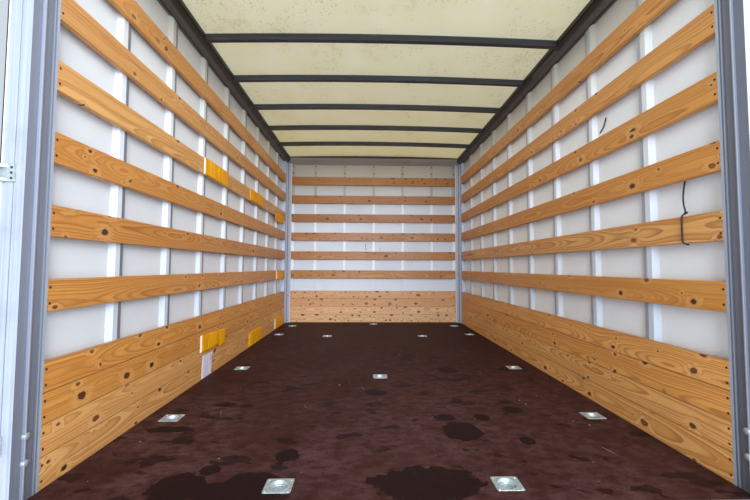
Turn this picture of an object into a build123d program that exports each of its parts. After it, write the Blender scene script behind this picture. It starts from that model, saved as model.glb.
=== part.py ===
from build123d import *
import os

# Cargo box of a box truck, open at the rear, with both rear doors folded back along its sides.
# X runs to the right, Y towards the cab and Z up. All sizes are in millimetres.
# The origin is the middle of the footprint, on the surface that the two long bearers stand on.

os.makedirs("parts", exist_ok=True)

# Sizes of the load space
inside_width = 2400.0        # between the battens of the two side walls
inside_height = 2250.0       # floor to the underside of the roof skin at its edges
body_length = 3885.0         # rear face of the rear posts to front face of the bulkhead

# Lining, from the inside out
batten_thickness = 22.0
pilaster_depth = 20.0
wall_thickness = 20.0
flange_thickness = 13.0      # outer flange of the rails, outside the wall sheets

# Floor and underframe, from the bottom up
bearer_height = 100.0
bearer_flange = 60.0
bearer_wall = 6.0
bearer_half_track = 430.0    # from the middle to the outer face of a bearer
cross_height = 80.0
cross_flange = 45.0
cross_wall = 4.0
cross_count = 8
cross_first = 150.0          # rear face to the first cross member's web
cross_last = 270.0           # last cross member's web to the front face
cross_pitch = (body_length - cross_first - cross_last) / (cross_count - 1)
deck_thickness = 21.0

# Places across the box
batten_face = inside_width / 2
pilaster_face = batten_face + batten_thickness
wall_inner = pilaster_face + pilaster_depth
wall_outer = wall_inner + wall_thickness
half_width = wall_outer + flange_thickness

# Hinge line of the doors
pivot_out = 15.0             # pivot axis outside the side of the body
pivot_back = 30.0            # pivot axis behind the rear face
knuckle_radius = 12.0
pin_radius = 6.0
pin_clearance = 0.1
pivot_x = half_width + pivot_out

# Places along the box
rear_reach = pivot_back + knuckle_radius
rear_y = -(body_length - rear_reach) / 2
front_y = rear_y + body_length
pivot_y = rear_y - pivot_back
sheet_front = front_y - wall_thickness
pilaster_front = sheet_front - pilaster_depth
batten_front = pilaster_front - batten_thickness

# Heights
deck_bottom = bearer_height + cross_height
floor = deck_bottom + deck_thickness
roof_edge = floor + inside_height

# Rear frame
post_depth = 102.0
post_wall = 6.0
post_radius = 5.0
sill_depth = 60.0
sill_nose = 20.0             # depth of its upper edge, behind the deck
sill_wall = 5.0
lip_place = 34.0             # rear face to the stop lip of the doors
lip_thickness = 4.0
lip_height = 10.0
header_drop = 100.0          # height of the rear header below the roof edge
header_bottom = roof_edge - header_drop
post_grooves = ((71.0, 7.0), (84.0, 6.0))  # place from the rear face, width
groove_depth = 3.0
face_groove_place = 35.0     # from the inner face, on the rear face of the post
face_groove_width = 3.0

# Cant rail along the top of each side wall
rail_height = 50.0           # roof edge down to the underside over the pilasters
rail_nose = 24.0             # height of its inner edge, where the bows end
rail_reach = 135.0           # outer face to inner edge
rail_skirt = 100.0           # outer flange down over the wall sheet
rail_pocket = 20.0           # depth of the slot for the wall sheet
rail_wall = 6.0
roof_cap_thickness = 10.0
roof_cap_height = 12.0
rail_low = roof_edge - rail_height
rail_nose_low = roof_edge - rail_nose
rail_inner = half_width - rail_reach

# Side rail along the bottom of each side wall
side_rail_width = 60.0
side_rail_wall = 5.0
side_rail_flange = 80.0      # outer flange up over the wall sheet
side_rail_inner = half_width - side_rail_width

# Front corner post
corner_side = 195.0          # along the side wall
corner_front = 130.0         # along the bulkhead
corner_side_square = 128.0   # front face to the start of the slanted face
corner_front_square = 73.0   # front face to the end of the slanted face
corner_wall = 5.0
corner_radius = 30.0
corner_end = front_y - corner_side
corner_inner = half_width - corner_front

# Pilasters, the upright stiffeners of the walls
pilaster_count = 8
pilaster_first = 492.0       # rear face to the far edge of the first white face
pilaster_last = 530.0        # far edge of the last white face to the front face
pilaster_pitch = (body_length - pilaster_first - pilaster_last) / (pilaster_count - 1)
pilaster_width = 30.0
pilaster_slope = 20.0        # run of the slanted flank on the rear side
joint_width = 24.0           # grey jointing strip beside each white face
joint_setback = 3.0
front_pilaster_half_count = 2
front_pilaster_pitch = 409.0

# Battens and kickboards
batten_height = 112.0
batten_first = 657.0         # floor to the middle of the lowest batten
batten_pitch = 260.6
batten_count = 6
batten_chamfer = 2.5
kick_height = 430.0
kick_boards = 4
kick_groove = 4.0

# Roof
roof_rise = 18.0
roof_thickness = 3.0
bow_width = 34.0
bow_height = 40.0
bow_wall = 2.5
bow_first = 605.0            # rear face to the middle of the first bow
bow_last = 780.0             # middle of the last bow to the front face
bow_count = 6
bow_pitch = (body_length - bow_first - bow_last) / (bow_count - 1)
front_header_reach = 235.0     # front face to its inner edge
front_header_lip = 14.0
front_header_wall = 5.0
front_header_hollow = 130.0    # front face to the far end of its hollow
front_groove_place = 62.0      # inner edge to the groove in its slanted underside
front_groove_width = 9.0
front_groove_depth = 4.0

# Lashing cups let into the floor: place across, place from the rear face
rear_cup_places = (
    (400.0, 120.0), (-400.0, 120.0),
    (1070.0, 690.0), (-1070.0, 690.0),
    (1025.0, 1575.0), (0.0, 1365.0), (-1025.0, 1575.0),
)
# Place across, place back from the lining of the bulkhead
front_cup_places = (
    (525.0, 993.0), (-525.0, 993.0),
    (1075.0, 903.0), (-1075.0, 903.0),
    (1045.0, 318.0), (0.0, 158.0), (-1045.0, 318.0),
)
cup_centres = [(across, rear_y + along) for across, along in rear_cup_places]
cup_centres += [(across, batten_front - along) for across, along in front_cup_places]
cup_across = 97.0
cup_along = 83.0
cup_plate = 2.0
cup_corner = 8.0
cup_radius = 35.0
cup_sides = 12
cup_wall = 2.0
cup_depth = 18.0
ring_radius = 25.0
ring_bar = 4.0
ring_sides = 12
ring_chamfer = 2.2
seat_gap = 0.3

# Doors
door_thickness = 24.0
door_edge_gap = 6.0          # leaf to the post beside it
door_bottom_gap = 8.0
door_top_gap = 8.0
door_half_gap = 4.0          # leaf to the middle of the opening
door_frame_width = 50.0
door_recess = 3.0
seal_width = 14.0
seal_thickness = 5.0
door_bottom = floor + door_bottom_gap
door_top = header_bottom - door_top_gap
door_start = pivot_x - batten_face + door_edge_gap   # along the leaf, from the pivot
door_end = pivot_x - door_half_gap
door_outer = pivot_back                              # away from the body, from the pivot
door_inner = door_outer + door_thickness

# Hinges
hinge_heights = (200.0, 1057.0, 1914.0)              # above the floor
hinge_plate_inner = 47.0     # fixed plate, from the outer face inwards
hinge_plate_thickness = 6.0
hinge_plate_height = 56.0
ear_thickness = 10.0
ear_meeting = (0.5, 0.8)     # where an ear meets its knuckle, across and along, in knuckle radii
strap_height = 34.0
strap_length = 260.0
strap_thickness = 6.0
strap_rise = 14.0
crank_start = 4.0            # edge of the leaf to the crank of the strap
crank_run = 30.0

# Lock bars
bar_radius = 13.5
bar_wall = 2.5
bar_stand = 22.0             # axis of the bar from the leaf
bar_place = 220.0            # axis of the bar from the middle of the opening, doors closed
bar_over = 50.0              # bar past the top and bottom of the opening
cam_width = 30.0
cam_height = 26.0
cam_back = 24.0
handle_height = 900.0
handle_length = 300.0
handle_thickness = 8.0
handle_width = 30.0
guide_width = 60.0
guide_height = 36.0
guide_sides = 12             # of the notch that the bar turns in
guide_heights = (120.0, 700.0, 1400.0, 2030.0)
keeper_gap = 6.0
keeper_thickness = 6.0
keeper_reach = 30.0
keeper_height = 44.0

# Mounting plates on the bearers
plate_rear = 700.0           # rear face to the middle of the first plate
plate_front = 705.0          # middle of the last plate to the front face
plate_places = (plate_rear, body_length - plate_front)
plate_thickness = 8.0
plate_length = 180.0
plate_height = 84.0
bolt_radius = 7.0
plate_corner = 10.0
bolt_spacing = 120.0

# Marker lamps on the side rails
lamp_rear = 400.0            # rear face to the middle of the first lamp
lamp_front = 405.0           # middle of the last lamp to the front face
lamp_places = (lamp_rear, (lamp_rear + body_length - lamp_front) / 2, body_length - lamp_front)
lamp_length = 90.0
lamp_height = 36.0
lamp_depth = 14.0
lamp_corner = 9.0
lamp_taper = 20.0            # degrees

# Pads on the left wall: place from the rear face, middle above the floor, height, length
rear_pad_table = (
    (1256.0, 1441.0, 118.0, 396.0),
    (2210.0, 1441.0, 112.0, 410.0),
    (1270.0, 233.0, 134.0, 420.0),
    (2263.0, 72.0, 134.0, 400.0),
)
# Place back from the lining of the bulkhead, middle above the floor, height, length
front_pad_table = (
    (653.0, 1370.0, 112.0, 410.0),
    (610.0, 69.0, 128.0, 430.0),
    (573.0, 657.0, 112.0, 350.0),
)
pad_thickness = 14.0


def save(builder, label):
    builder.part.label = label
    export_step(builder.part, f"parts/{label}.step")


def save_pair(builder, name):
    # The piece as built is the right one, and its mirror image is the left one.
    save(builder, f"{name}_right")
    with BuildPart() as twin:
        mirror(builder.part, about=Plane.YZ)
    save(twin, f"{name}_left")


def save_both_sides(builder, label):
    # One node that holds the piece as built and its mirror image.
    with BuildPart() as both:
        add(builder.part)
        mirror(builder.part, about=Plane.YZ)
    save(both, label)


def slab(x_span, y_span, z_span, mode=Mode.ADD):
    # A plain board or plate between three pairs of places.
    with BuildSketch(Plane.XY.offset(z_span[0])) as outline:
        with Locations(((x_span[0] + x_span[1]) / 2, (y_span[0] + y_span[1]) / 2)):
            Rectangle(x_span[1] - x_span[0], y_span[1] - y_span[0])
    extrude(outline.sketch, amount=z_span[1] - z_span[0], mode=mode)


def run_along(points, start, end, mode=Mode.ADD):
    # A profile given in X and Z, drawn out along Y from start to end.
    with BuildSketch(Plane.XZ.offset(-end)) as outline:
        with BuildLine():
            Polyline(*points, close=True)
        make_face()
    extrude(outline.sketch, amount=end - start, mode=mode)


def arched_bar(half_span, z_span, y_span, mode=Mode.ADD):
    # A bar across the box between two equal arcs.
    low, high = z_span
    with BuildSketch(Plane.XZ.offset(-y_span[1])) as outline:
        with BuildLine():
            ThreePointArc((-half_span, low), (0, low + roof_rise), (half_span, low))
            Line((half_span, low), (half_span, high))
            ThreePointArc((half_span, high), (0, high + roof_rise), (-half_span, high))
            Line((-half_span, high), (-half_span, low))
        make_face()
    extrude(outline.sketch, amount=y_span[1] - y_span[0], mode=mode)


def header_bar(y_span):
    # The upper part of a header, its ends cut to the cant rails and its top to the roof.
    with BuildSketch(Plane.XZ.offset(-y_span[1])) as outline:
        with BuildLine():
            Polyline((-rail_inner, roof_edge), (-rail_inner, rail_nose_low), (-pilaster_face, rail_low),
                     (pilaster_face, rail_low), (rail_inner, rail_nose_low), (rail_inner, roof_edge))
            ThreePointArc((rail_inner, roof_edge), (0, roof_edge + roof_rise), (-rail_inner, roof_edge))
        make_face()
    extrude(outline.sketch, amount=y_span[1] - y_span[0])


# Long bearers, channels that open towards each other, with the bolt holes of the mounting plates
plate_middle = bearer_height / 2
with BuildPart() as bearer:
    web = bearer_half_track - bearer_wall
    tip = bearer_half_track - bearer_flange
    run_along(((bearer_half_track, 0), (bearer_half_track, bearer_height), (tip, bearer_height),
               (tip, bearer_height - bearer_wall), (web, bearer_height - bearer_wall),
               (web, bearer_wall), (tip, bearer_wall), (tip, 0)), rear_y, front_y)
    for place in plate_places:
        with BuildSketch(Plane.YZ.offset(bearer_half_track - bearer_wall)):
            with Locations((rear_y + place, plate_middle)):
                with GridLocations(bolt_spacing, 0, 2, 1):
                    Circle(bolt_radius)
        extrude(amount=bearer_wall, mode=Mode.SUBTRACT)
save_pair(bearer, "chassis_bearer")

# Mounting plates, flat on the bearers' webs
with BuildPart() as mounting:
    for place in plate_places:
        with BuildSketch(Plane.YZ.offset(bearer_half_track)) as outline:
            with Locations((rear_y + place, plate_middle)):
                Rectangle(plate_length, plate_height)
            chamfer(outline.vertices(), plate_corner)
            with Locations((rear_y + place, plate_middle)):
                with GridLocations(bolt_spacing, 0, 2, 1):
                    Circle(bolt_radius, mode=Mode.SUBTRACT)
        extrude(amount=plate_thickness)
save_both_sides(mounting, "mounting_plates")

# Cross members, channels that lie on the bearers and carry the floor
with BuildPart() as cross:
    for number in range(cross_count):
        web_y = rear_y + cross_first + number * cross_pitch
        with BuildSketch(Plane.YZ.offset(-side_rail_inner)):
            with BuildLine():
                Polyline((web_y, bearer_height), (web_y + cross_flange, bearer_height),
                         (web_y + cross_flange, bearer_height + cross_wall),
                         (web_y + cross_wall, bearer_height + cross_wall),
                         (web_y + cross_wall, deck_bottom - cross_wall),
                         (web_y + cross_flange, deck_bottom - cross_wall),
                         (web_y + cross_flange, deck_bottom), (web_y, deck_bottom), close=True)
            make_face()
        extrude(amount=2 * side_rail_inner)
save(cross, "cross_members")

# Side rails, a closed chamber with a flange up the outside of the wall sheet
with BuildPart() as side_rail:
    rail_start = rear_y + post_depth
    run_along(((side_rail_inner, bearer_height), (half_width, bearer_height),
               (half_width, deck_bottom + side_rail_flange), (wall_outer, deck_bottom + side_rail_flange),
               (wall_outer, deck_bottom), (side_rail_inner, deck_bottom)), rail_start, corner_end)
    slab((side_rail_inner + side_rail_wall, half_width - side_rail_wall), (rail_start, corner_end),
         (bearer_height + side_rail_wall, deck_bottom - side_rail_wall), Mode.SUBTRACT)
save_pair(side_rail, "side_rail")

# Front bottom rail under the bulkhead
with BuildPart() as front_rail:
    front_rail_back = front_y - side_rail_width
    slab((-corner_inner, corner_inner), (front_rail_back, front_y), (bearer_height, deck_bottom))
    slab((-corner_inner, corner_inner), (front_rail_back + side_rail_wall, front_y - side_rail_wall),
         (bearer_height + side_rail_wall, deck_bottom - side_rail_wall), Mode.SUBTRACT)
save(front_rail, "front_bottom_rail")

# Outline of the right front corner post, slanted on its inner corner
corner_points = ((half_width, corner_end), (half_width, front_y), (corner_inner, front_y),
                 (corner_inner, front_y - corner_front_square),
                 (batten_face, front_y - corner_side_square), (batten_face, corner_end))
corner_cavity = ((half_width - corner_wall, corner_end + corner_wall),
                 (half_width - corner_wall, front_y - corner_radius),
                 (half_width - corner_radius, front_y - corner_wall),
                 (corner_inner + corner_wall, front_y - corner_wall),
                 (corner_inner + corner_wall, front_y - corner_front_square + corner_wall),
                 (batten_face + corner_wall, front_y - corner_side_square + corner_wall),
                 (batten_face + corner_wall, corner_end + corner_wall))

# Floor deck, notched round the posts and bored for the lashing cups
with BuildPart() as deck:
    with BuildSketch(Plane.XY.offset(deck_bottom)):
        with Locations((0, (rear_y + sill_nose + sheet_front) / 2)):
            Rectangle(2 * wall_inner, sheet_front - rear_y - sill_nose)
        for side in (-1, 1):
            with BuildLine():
                Polyline(*[(side * x, y) for x, y in corner_points], close=True)
            make_face(mode=Mode.SUBTRACT)
            with Locations((side * half_width, rear_y + post_depth / 2)):
                Rectangle(2 * (half_width - batten_face), post_depth, mode=Mode.SUBTRACT)
        with Locations(*cup_centres):
            RegularPolygon(cup_radius, cup_sides, mode=Mode.SUBTRACT)
    extrude(amount=deck_thickness)
save(deck, "floor_deck")

# Lashing cups: a plate on the deck and a dish through it
with BuildPart() as cups:
    with BuildSketch(Plane.XY.offset(floor)) as plates:
        with Locations(*cup_centres):
            Rectangle(cup_across, cup_along)
        chamfer(plates.vertices(), cup_corner)
    extrude(amount=cup_plate)
    with BuildSketch(Plane.XY.offset(floor - cup_depth)):
        with Locations(*cup_centres):
            RegularPolygon(cup_radius, cup_sides)
    extrude(amount=cup_depth)
    with BuildSketch(Plane.XY.offset(floor - cup_depth + cup_wall)):
        with Locations(*cup_centres):
            RegularPolygon(cup_radius - cup_wall, cup_sides)
    extrude(amount=cup_depth, mode=Mode.SUBTRACT)
save(cups, "lashing_cups")

# Rings that lie in the cups
with BuildPart() as rings:
    with BuildSketch(Plane.XY.offset(floor - cup_depth + cup_wall + seat_gap)):
        with Locations(*cup_centres):
            RegularPolygon(ring_radius + ring_bar, ring_sides)
            RegularPolygon(ring_radius - ring_bar, ring_sides, mode=Mode.SUBTRACT)
    extrude(amount=2 * ring_bar)
    chamfer(rings.edges().group_by(Axis.Z)[-1], ring_chamfer)
save(rings, "lashing_rings")

# Rear sill, a chamber under the deck with a nose that closes the deck's edge
with BuildPart() as sill:
    slab((-batten_face, batten_face), (rear_y, rear_y + sill_depth), (bearer_height, deck_bottom))
    slab((-batten_face, batten_face), (rear_y, rear_y + sill_nose), (deck_bottom, floor))
    slab((-batten_face + sill_wall, batten_face - sill_wall),
         (rear_y + sill_wall, rear_y + sill_depth - sill_wall),
         (bearer_height + sill_wall, deck_bottom - sill_wall), Mode.SUBTRACT)
save(sill, "rear_sill")

# Rear posts: a chambered profile with a stop lip and grooves
with BuildPart() as post:
    with BuildSketch(Plane.XY.offset(bearer_height)):
        with Locations(((batten_face + half_width) / 2, rear_y + post_depth / 2)):
            Rectangle(half_width - batten_face, post_depth)
        with Locations((batten_face + face_groove_place, rear_y)):
            Rectangle(face_groove_width, 2 * groove_depth, mode=Mode.SUBTRACT)
        for place, width in post_grooves:
            with Locations((batten_face, rear_y + place + width / 2)):
                Rectangle(2 * groove_depth, width, mode=Mode.SUBTRACT)
    extrude(amount=rail_low - bearer_height)
    slab((batten_face + post_wall, half_width - post_wall), (rear_y + post_wall, rear_y + post_depth - post_wall),
         (bearer_height + post_wall, rail_low), Mode.SUBTRACT)
    outer_edge = post.edges().filter_by(Axis.Z).sort_by(Axis.X).group_by(Axis.X)[-1].sort_by(Axis.Y)[0]
    fillet(outer_edge, post_radius)
    slab((batten_face - lip_height, batten_face),
         (rear_y + lip_place, rear_y + lip_place + lip_thickness), (floor, header_bottom))
save_pair(post, "rear_post")

# Rear header, hollow, with the stop lip on its underside
with BuildPart() as rear_header:
    header_bar((rear_y, rear_y + post_depth))
    slab((-batten_face, batten_face), (rear_y, rear_y + post_depth), (header_bottom, rail_low))
    slab((-rail_inner + post_wall, rail_inner - post_wall),
         (rear_y + post_wall, rear_y + post_depth - post_wall),
         (header_bottom + post_wall, roof_edge - post_wall), Mode.SUBTRACT)
    slab((-batten_face + lip_height, batten_face - lip_height),
         (rear_y + lip_place, rear_y + lip_place + lip_thickness),
         (header_bottom - lip_height, header_bottom))
save(rear_header, "rear_header")

# Front corner posts
with BuildPart() as corner:
    with BuildSketch(Plane.XY.offset(bearer_height)):
        with BuildLine():
            Polyline(*corner_points, close=True)
        make_face()
    extrude(amount=rail_low - bearer_height)
    with BuildSketch(Plane.XY.offset(bearer_height + corner_wall)):
        with BuildLine():
            Polyline(*corner_cavity, close=True)
        make_face()
    extrude(amount=rail_low - bearer_height - corner_wall, mode=Mode.SUBTRACT)
    front_edges = corner.edges().filter_by(Axis.Z).group_by(Axis.Y)[-1]
    fillet(front_edges.sort_by(Axis.X)[-1], corner_radius)
save_pair(corner, "corner_post")

# Front header, a hollow cove between the roof and the bulkhead with a groove in its underside
header_back = front_y - front_header_reach
cove_top = roof_edge - front_header_lip
with BuildPart() as front_header:
    header_bar((header_back, front_y))
    with BuildSketch(Plane.YZ.offset(-half_width)):
        with BuildLine():
            Polyline((header_back, rail_low), (pilaster_front, rail_low), (header_back, cove_top), close=True)
        make_face()
    extrude(amount=2 * half_width, mode=Mode.SUBTRACT)
    groove_back = header_back + front_groove_place
    groove_share = front_groove_place / (pilaster_front - header_back)
    groove_top = cove_top - groove_share * (cove_top - rail_low) + front_groove_depth
    slab((-half_width, half_width), (groove_back, groove_back + front_groove_width),
         (rail_low, groove_top), Mode.SUBTRACT)
    with BuildSketch(Plane.YZ.offset(-rail_inner + front_header_wall)):
        with BuildLine():
            Polyline((front_y - front_header_wall, rail_low + front_header_wall),
                     (front_y - front_header_wall, roof_edge - front_header_wall),
                     (front_y - front_header_hollow, roof_edge - front_header_wall),
                     (pilaster_front, rail_low + 2 * front_header_wall), close=True)
        make_face()
    extrude(amount=2 * (rail_inner - front_header_wall), mode=Mode.SUBTRACT)
save(front_header, "front_header")

# Cant rails along the tops of the side walls
with BuildPart() as cant:
    cap_inner = half_width - roof_cap_thickness
    run_along(((half_width, roof_edge - rail_skirt), (half_width, roof_edge + roof_cap_height),
               (cap_inner, roof_edge + roof_cap_height), (cap_inner, roof_edge),
               (rail_inner, roof_edge), (rail_inner, rail_nose_low), (pilaster_face, rail_low),
               (wall_inner, rail_low), (wall_inner, rail_low + rail_pocket),
               (wall_outer, rail_low + rail_pocket), (wall_outer, roof_edge - rail_skirt)),
              rear_y, front_y)
    run_along(((rail_inner + rail_wall, roof_edge - rail_wall),
               (half_width - rail_wall, roof_edge - rail_wall),
               (half_width - rail_wall, rail_low + rail_pocket + rail_wall),
               (wall_inner - rail_wall, rail_low + rail_pocket + rail_wall),
               (wall_inner - rail_wall, rail_low + rail_wall),
               (pilaster_face, rail_low + rail_wall),
               (rail_inner + rail_wall, rail_nose_low + rail_wall)),
              rear_y, front_y, Mode.SUBTRACT)
    for post_span in ((rear_y, rear_y + post_depth), (corner_end, front_y)):
        slab((wall_outer, half_width), post_span, (roof_edge - rail_skirt, rail_low), Mode.SUBTRACT)
save_pair(cant, "cant_rail")

# Roof bows, hollow and slightly arched, between the cant rails
bow_low = roof_edge - bow_height
with BuildPart() as bows:
    for number in range(bow_count):
        bow_y = rear_y + bow_first + number * bow_pitch
        bow_half = bow_width / 2
        arched_bar(rail_inner, (bow_low, roof_edge), (bow_y - bow_half, bow_y + bow_half))
        arched_bar(rail_inner - bow_wall, (bow_low + bow_wall, roof_edge - bow_wall),
                   (bow_y - bow_half + bow_wall, bow_y + bow_half - bow_wall), Mode.SUBTRACT)
save(bows, "roof_bows")

# Roof skin, one translucent sheet from cap to cap
with BuildPart() as roof:
    with BuildSketch(Plane.XZ.offset(-front_y)):
        with BuildLine():
            skin_half = half_width - roof_cap_thickness
            skin_top = roof_edge + roof_thickness
            Polyline((-rail_inner, roof_edge), (-skin_half, roof_edge), (-skin_half, skin_top),
                     (-rail_inner, skin_top))
            ThreePointArc((-rail_inner, skin_top), (0, skin_top + roof_rise), (rail_inner, skin_top))
            Polyline((rail_inner, skin_top), (skin_half, skin_top), (skin_half, roof_edge),
                     (rail_inner, roof_edge))
            ThreePointArc((rail_inner, roof_edge), (0, roof_edge + roof_rise), (-rail_inner, roof_edge))
        make_face()
    extrude(amount=body_length)
save(roof, "roof_skin")

# Side wall sheets, from the side rail up into the slot of the cant rail
with BuildPart() as side_wall:
    slab((wall_inner, wall_outer), (rear_y + post_depth, corner_end),
         (deck_bottom, rail_low + rail_pocket))
save_pair(side_wall, "side_wall")

# Bulkhead sheet
with BuildPart() as bulkhead:
    slab((-corner_inner, corner_inner), (sheet_front, front_y), (deck_bottom, rail_low))
save(bulkhead, "bulkhead")

# Pilasters of the side walls: a flat white face with one slanted flank
with BuildPart() as pilasters:
    for number in range(pilaster_count):
        far_edge = rear_y + pilaster_first + number * pilaster_pitch
        near_edge = far_edge - pilaster_width
        with BuildSketch(Plane.XY.offset(floor)):
            with BuildLine():
                Polyline((pilaster_face, far_edge), (pilaster_face, near_edge),
                         (wall_inner, near_edge - pilaster_slope), (wall_inner, far_edge), close=True)
            make_face()
        extrude(amount=rail_low - floor)
save_pair(pilasters, "side_pilasters")

# Grey jointing strips beside the pilasters
with BuildPart() as joints:
    for number in range(pilaster_count):
        far_edge = rear_y + pilaster_first + number * pilaster_pitch
        slab((pilaster_face + joint_setback, wall_inner), (far_edge, far_edge + joint_width),
             (floor, rail_low))
save_pair(joints, "joint_strips")

# Pilasters of the bulkhead, with one more against each corner post
with BuildPart() as front_pilasters:
    front_places = [number * front_pilaster_pitch
                    for number in range(-front_pilaster_half_count, front_pilaster_half_count + 1)]
    front_places += [-corner_inner + pilaster_width / 2, corner_inner - pilaster_width / 2]
    for place in front_places:
        slab((place - pilaster_width / 2, place + pilaster_width / 2),
             (pilaster_front, sheet_front), (floor, rail_low))
save(front_pilasters, "bulkhead_pilasters")

batten_middles = [floor + batten_first + number * batten_pitch for number in range(batten_count)]

# Wooden battens of the side walls
with BuildPart() as battens:
    for middle in batten_middles:
        slab((batten_face, pilaster_face), (rear_y + post_depth, corner_end),
             (middle - batten_height / 2, middle + batten_height / 2))
    chamfer(battens.edges().filter_by(Axis.Y).group_by(Axis.X)[0], batten_chamfer)
save_pair(battens, "side_battens")

# Wooden battens of the bulkhead
with BuildPart() as front_battens:
    for middle in batten_middles:
        slab((-corner_inner, corner_inner), (batten_front, pilaster_front),
             (middle - batten_height / 2, middle + batten_height / 2))
    chamfer(front_battens.edges().filter_by(Axis.X).group_by(Axis.Y)[0], batten_chamfer)
save(front_battens, "bulkhead_battens")

groove_heights = [floor + number * kick_height / kick_boards for number in range(1, kick_boards)]

# Kickboards of the side walls, with a groove at each board joint
with BuildPart() as kick:
    slab((batten_face, pilaster_face), (rear_y + post_depth, corner_end), (floor, floor + kick_height))
    for height in groove_heights:
        run_along(((batten_face, height - kick_groove), (batten_face + kick_groove, height),
                   (batten_face, height + kick_groove)),
                  rear_y + post_depth, corner_end, Mode.SUBTRACT)
save_pair(kick, "side_kickboard")

# Kickboard of the bulkhead
with BuildPart() as front_kick:
    slab((-corner_inner, corner_inner), (batten_front, pilaster_front), (floor, floor + kick_height))
    for height in groove_heights:
        with BuildSketch(Plane.YZ.offset(-corner_inner)):
            with BuildLine():
                Polyline((batten_front, height - kick_groove), (batten_front + kick_groove, height),
                         (batten_front, height + kick_groove), close=True)
            make_face()
        extrude(amount=2 * corner_inner, mode=Mode.SUBTRACT)
save(front_kick, "bulkhead_kickboard")

# Soft pads stuck on the left wall's battens and kickboard
pad_rows = [(rear_y + place, *row) for place, *row in rear_pad_table]
pad_rows += [(batten_front - place, *row) for place, *row in front_pad_table]
with BuildPart() as pads:
    for start, middle, height, length in pad_rows:
        slab((-batten_face, -batten_face + pad_thickness), (start, start + length),
             (floor + middle - height / 2, floor + middle + height / 2))
save(pads, "wall_pads")

# Marker lamps on the side rails
with BuildPart() as lamps:
    for place in lamp_places:
        with BuildSketch(Plane.YZ.offset(half_width)) as lens:
            with Locations((rear_y + place, (bearer_height + deck_bottom) / 2)):
                Rectangle(lamp_length, lamp_height)
            chamfer(lens.vertices(), lamp_corner)
        extrude(amount=lamp_depth, taper=lamp_taper)
save_both_sides(lamps, "marker_lamps")


# The doors are drawn open. A place on a door is its distance along the leaf from the pivot
# and its distance from the pivot away from the body.
def on_door(along, away):
    return (pivot_x + away, pivot_y + along)


def door_slab(along, away, z_span, mode=Mode.ADD):
    low = on_door(along[0], away[0])
    high = on_door(along[1], away[1])
    slab((low[0], high[0]), (low[1], high[1]), z_span, mode)


# Door leaves with a raised frame on both faces
with BuildPart() as leaf:
    door_slab((door_start, door_end), (door_outer, door_inner), (door_bottom, door_top))
    field_along = (door_start + door_frame_width, door_end - door_frame_width)
    field_up = (door_bottom + door_frame_width, door_top - door_frame_width)
    door_slab(field_along, (door_outer, door_outer + door_recess), field_up, Mode.SUBTRACT)
    door_slab(field_along, (door_inner - door_recess, door_inner), field_up, Mode.SUBTRACT)
save_pair(leaf, "door")

# Rubber seals round the inner face of the leaves
with BuildPart() as seal:
    seal_away = (door_inner, door_inner + seal_thickness)
    door_slab((door_start, door_end), seal_away, (door_bottom, door_top))
    door_slab((door_start + seal_width, door_end - seal_width), seal_away,
              (door_bottom + seal_width, door_top - seal_width), Mode.SUBTRACT)
save_pair(seal, "door_seal")

# Fixed hinge plates with two ears and the pin
with BuildPart() as brackets:
    for height in hinge_heights:
        middle = floor + height
        slab((half_width - hinge_plate_inner, half_width), (rear_y - hinge_plate_thickness, rear_y),
             (middle - hinge_plate_height / 2, middle + hinge_plate_height / 2))
        ear_root = (half_width - hinge_plate_inner / 2, rear_y - hinge_plate_thickness)
        ear_across = ear_meeting[0] * knuckle_radius
        ear_along = ear_meeting[1] * knuckle_radius
        for low in (middle + strap_height / 2 + pin_clearance,
                    middle - strap_height / 2 - pin_clearance - ear_thickness):
            with BuildSketch(Plane.XY.offset(low)):
                with Locations((pivot_x, pivot_y)):
                    Circle(knuckle_radius)
                with BuildLine():
                    Polyline(ear_root, (pivot_x - ear_across, pivot_y - ear_along),
                             (pivot_x + ear_across, pivot_y + ear_along),
                             (half_width, rear_y - hinge_plate_thickness),
                             (half_width, rear_y), (ear_root[0], rear_y), close=True)
                make_face()
            extrude(amount=ear_thickness)
        with BuildSketch(Plane.XY.offset(middle - strap_height / 2 - ear_thickness)):
            with Locations((pivot_x, pivot_y)):
                Circle(pin_radius)
        extrude(amount=strap_height + 2 * ear_thickness)
save_pair(brackets, "hinge_brackets")

# Hinge straps: a knuckle, a cranked arm and a flat on the leaf's outer face
with BuildPart() as straps:
    crank_low = door_start + crank_start
    crank_high = crank_low + crank_run
    strap_end = door_start + strap_length
    for height in hinge_heights:
        with BuildSketch(Plane.XY.offset(floor + height - strap_height / 2)):
            with Locations((pivot_x, pivot_y)):
                Circle(knuckle_radius)
            with BuildLine():
                Polyline(on_door(0, -strap_thickness),
                         on_door(crank_low, door_outer - strap_rise - strap_thickness),
                         on_door(crank_high, door_outer - strap_thickness),
                         on_door(strap_end, door_outer - strap_thickness),
                         on_door(strap_end, door_outer),
                         on_door(crank_high - strap_thickness, door_outer),
                         on_door(crank_low - strap_thickness, door_outer - strap_rise),
                         on_door(0, strap_thickness), close=True)
            make_face()
            with Locations((pivot_x, pivot_y)):
                Circle(pin_radius + pin_clearance, mode=Mode.SUBTRACT)
        extrude(amount=strap_height)
save_pair(straps, "hinge_straps")

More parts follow.
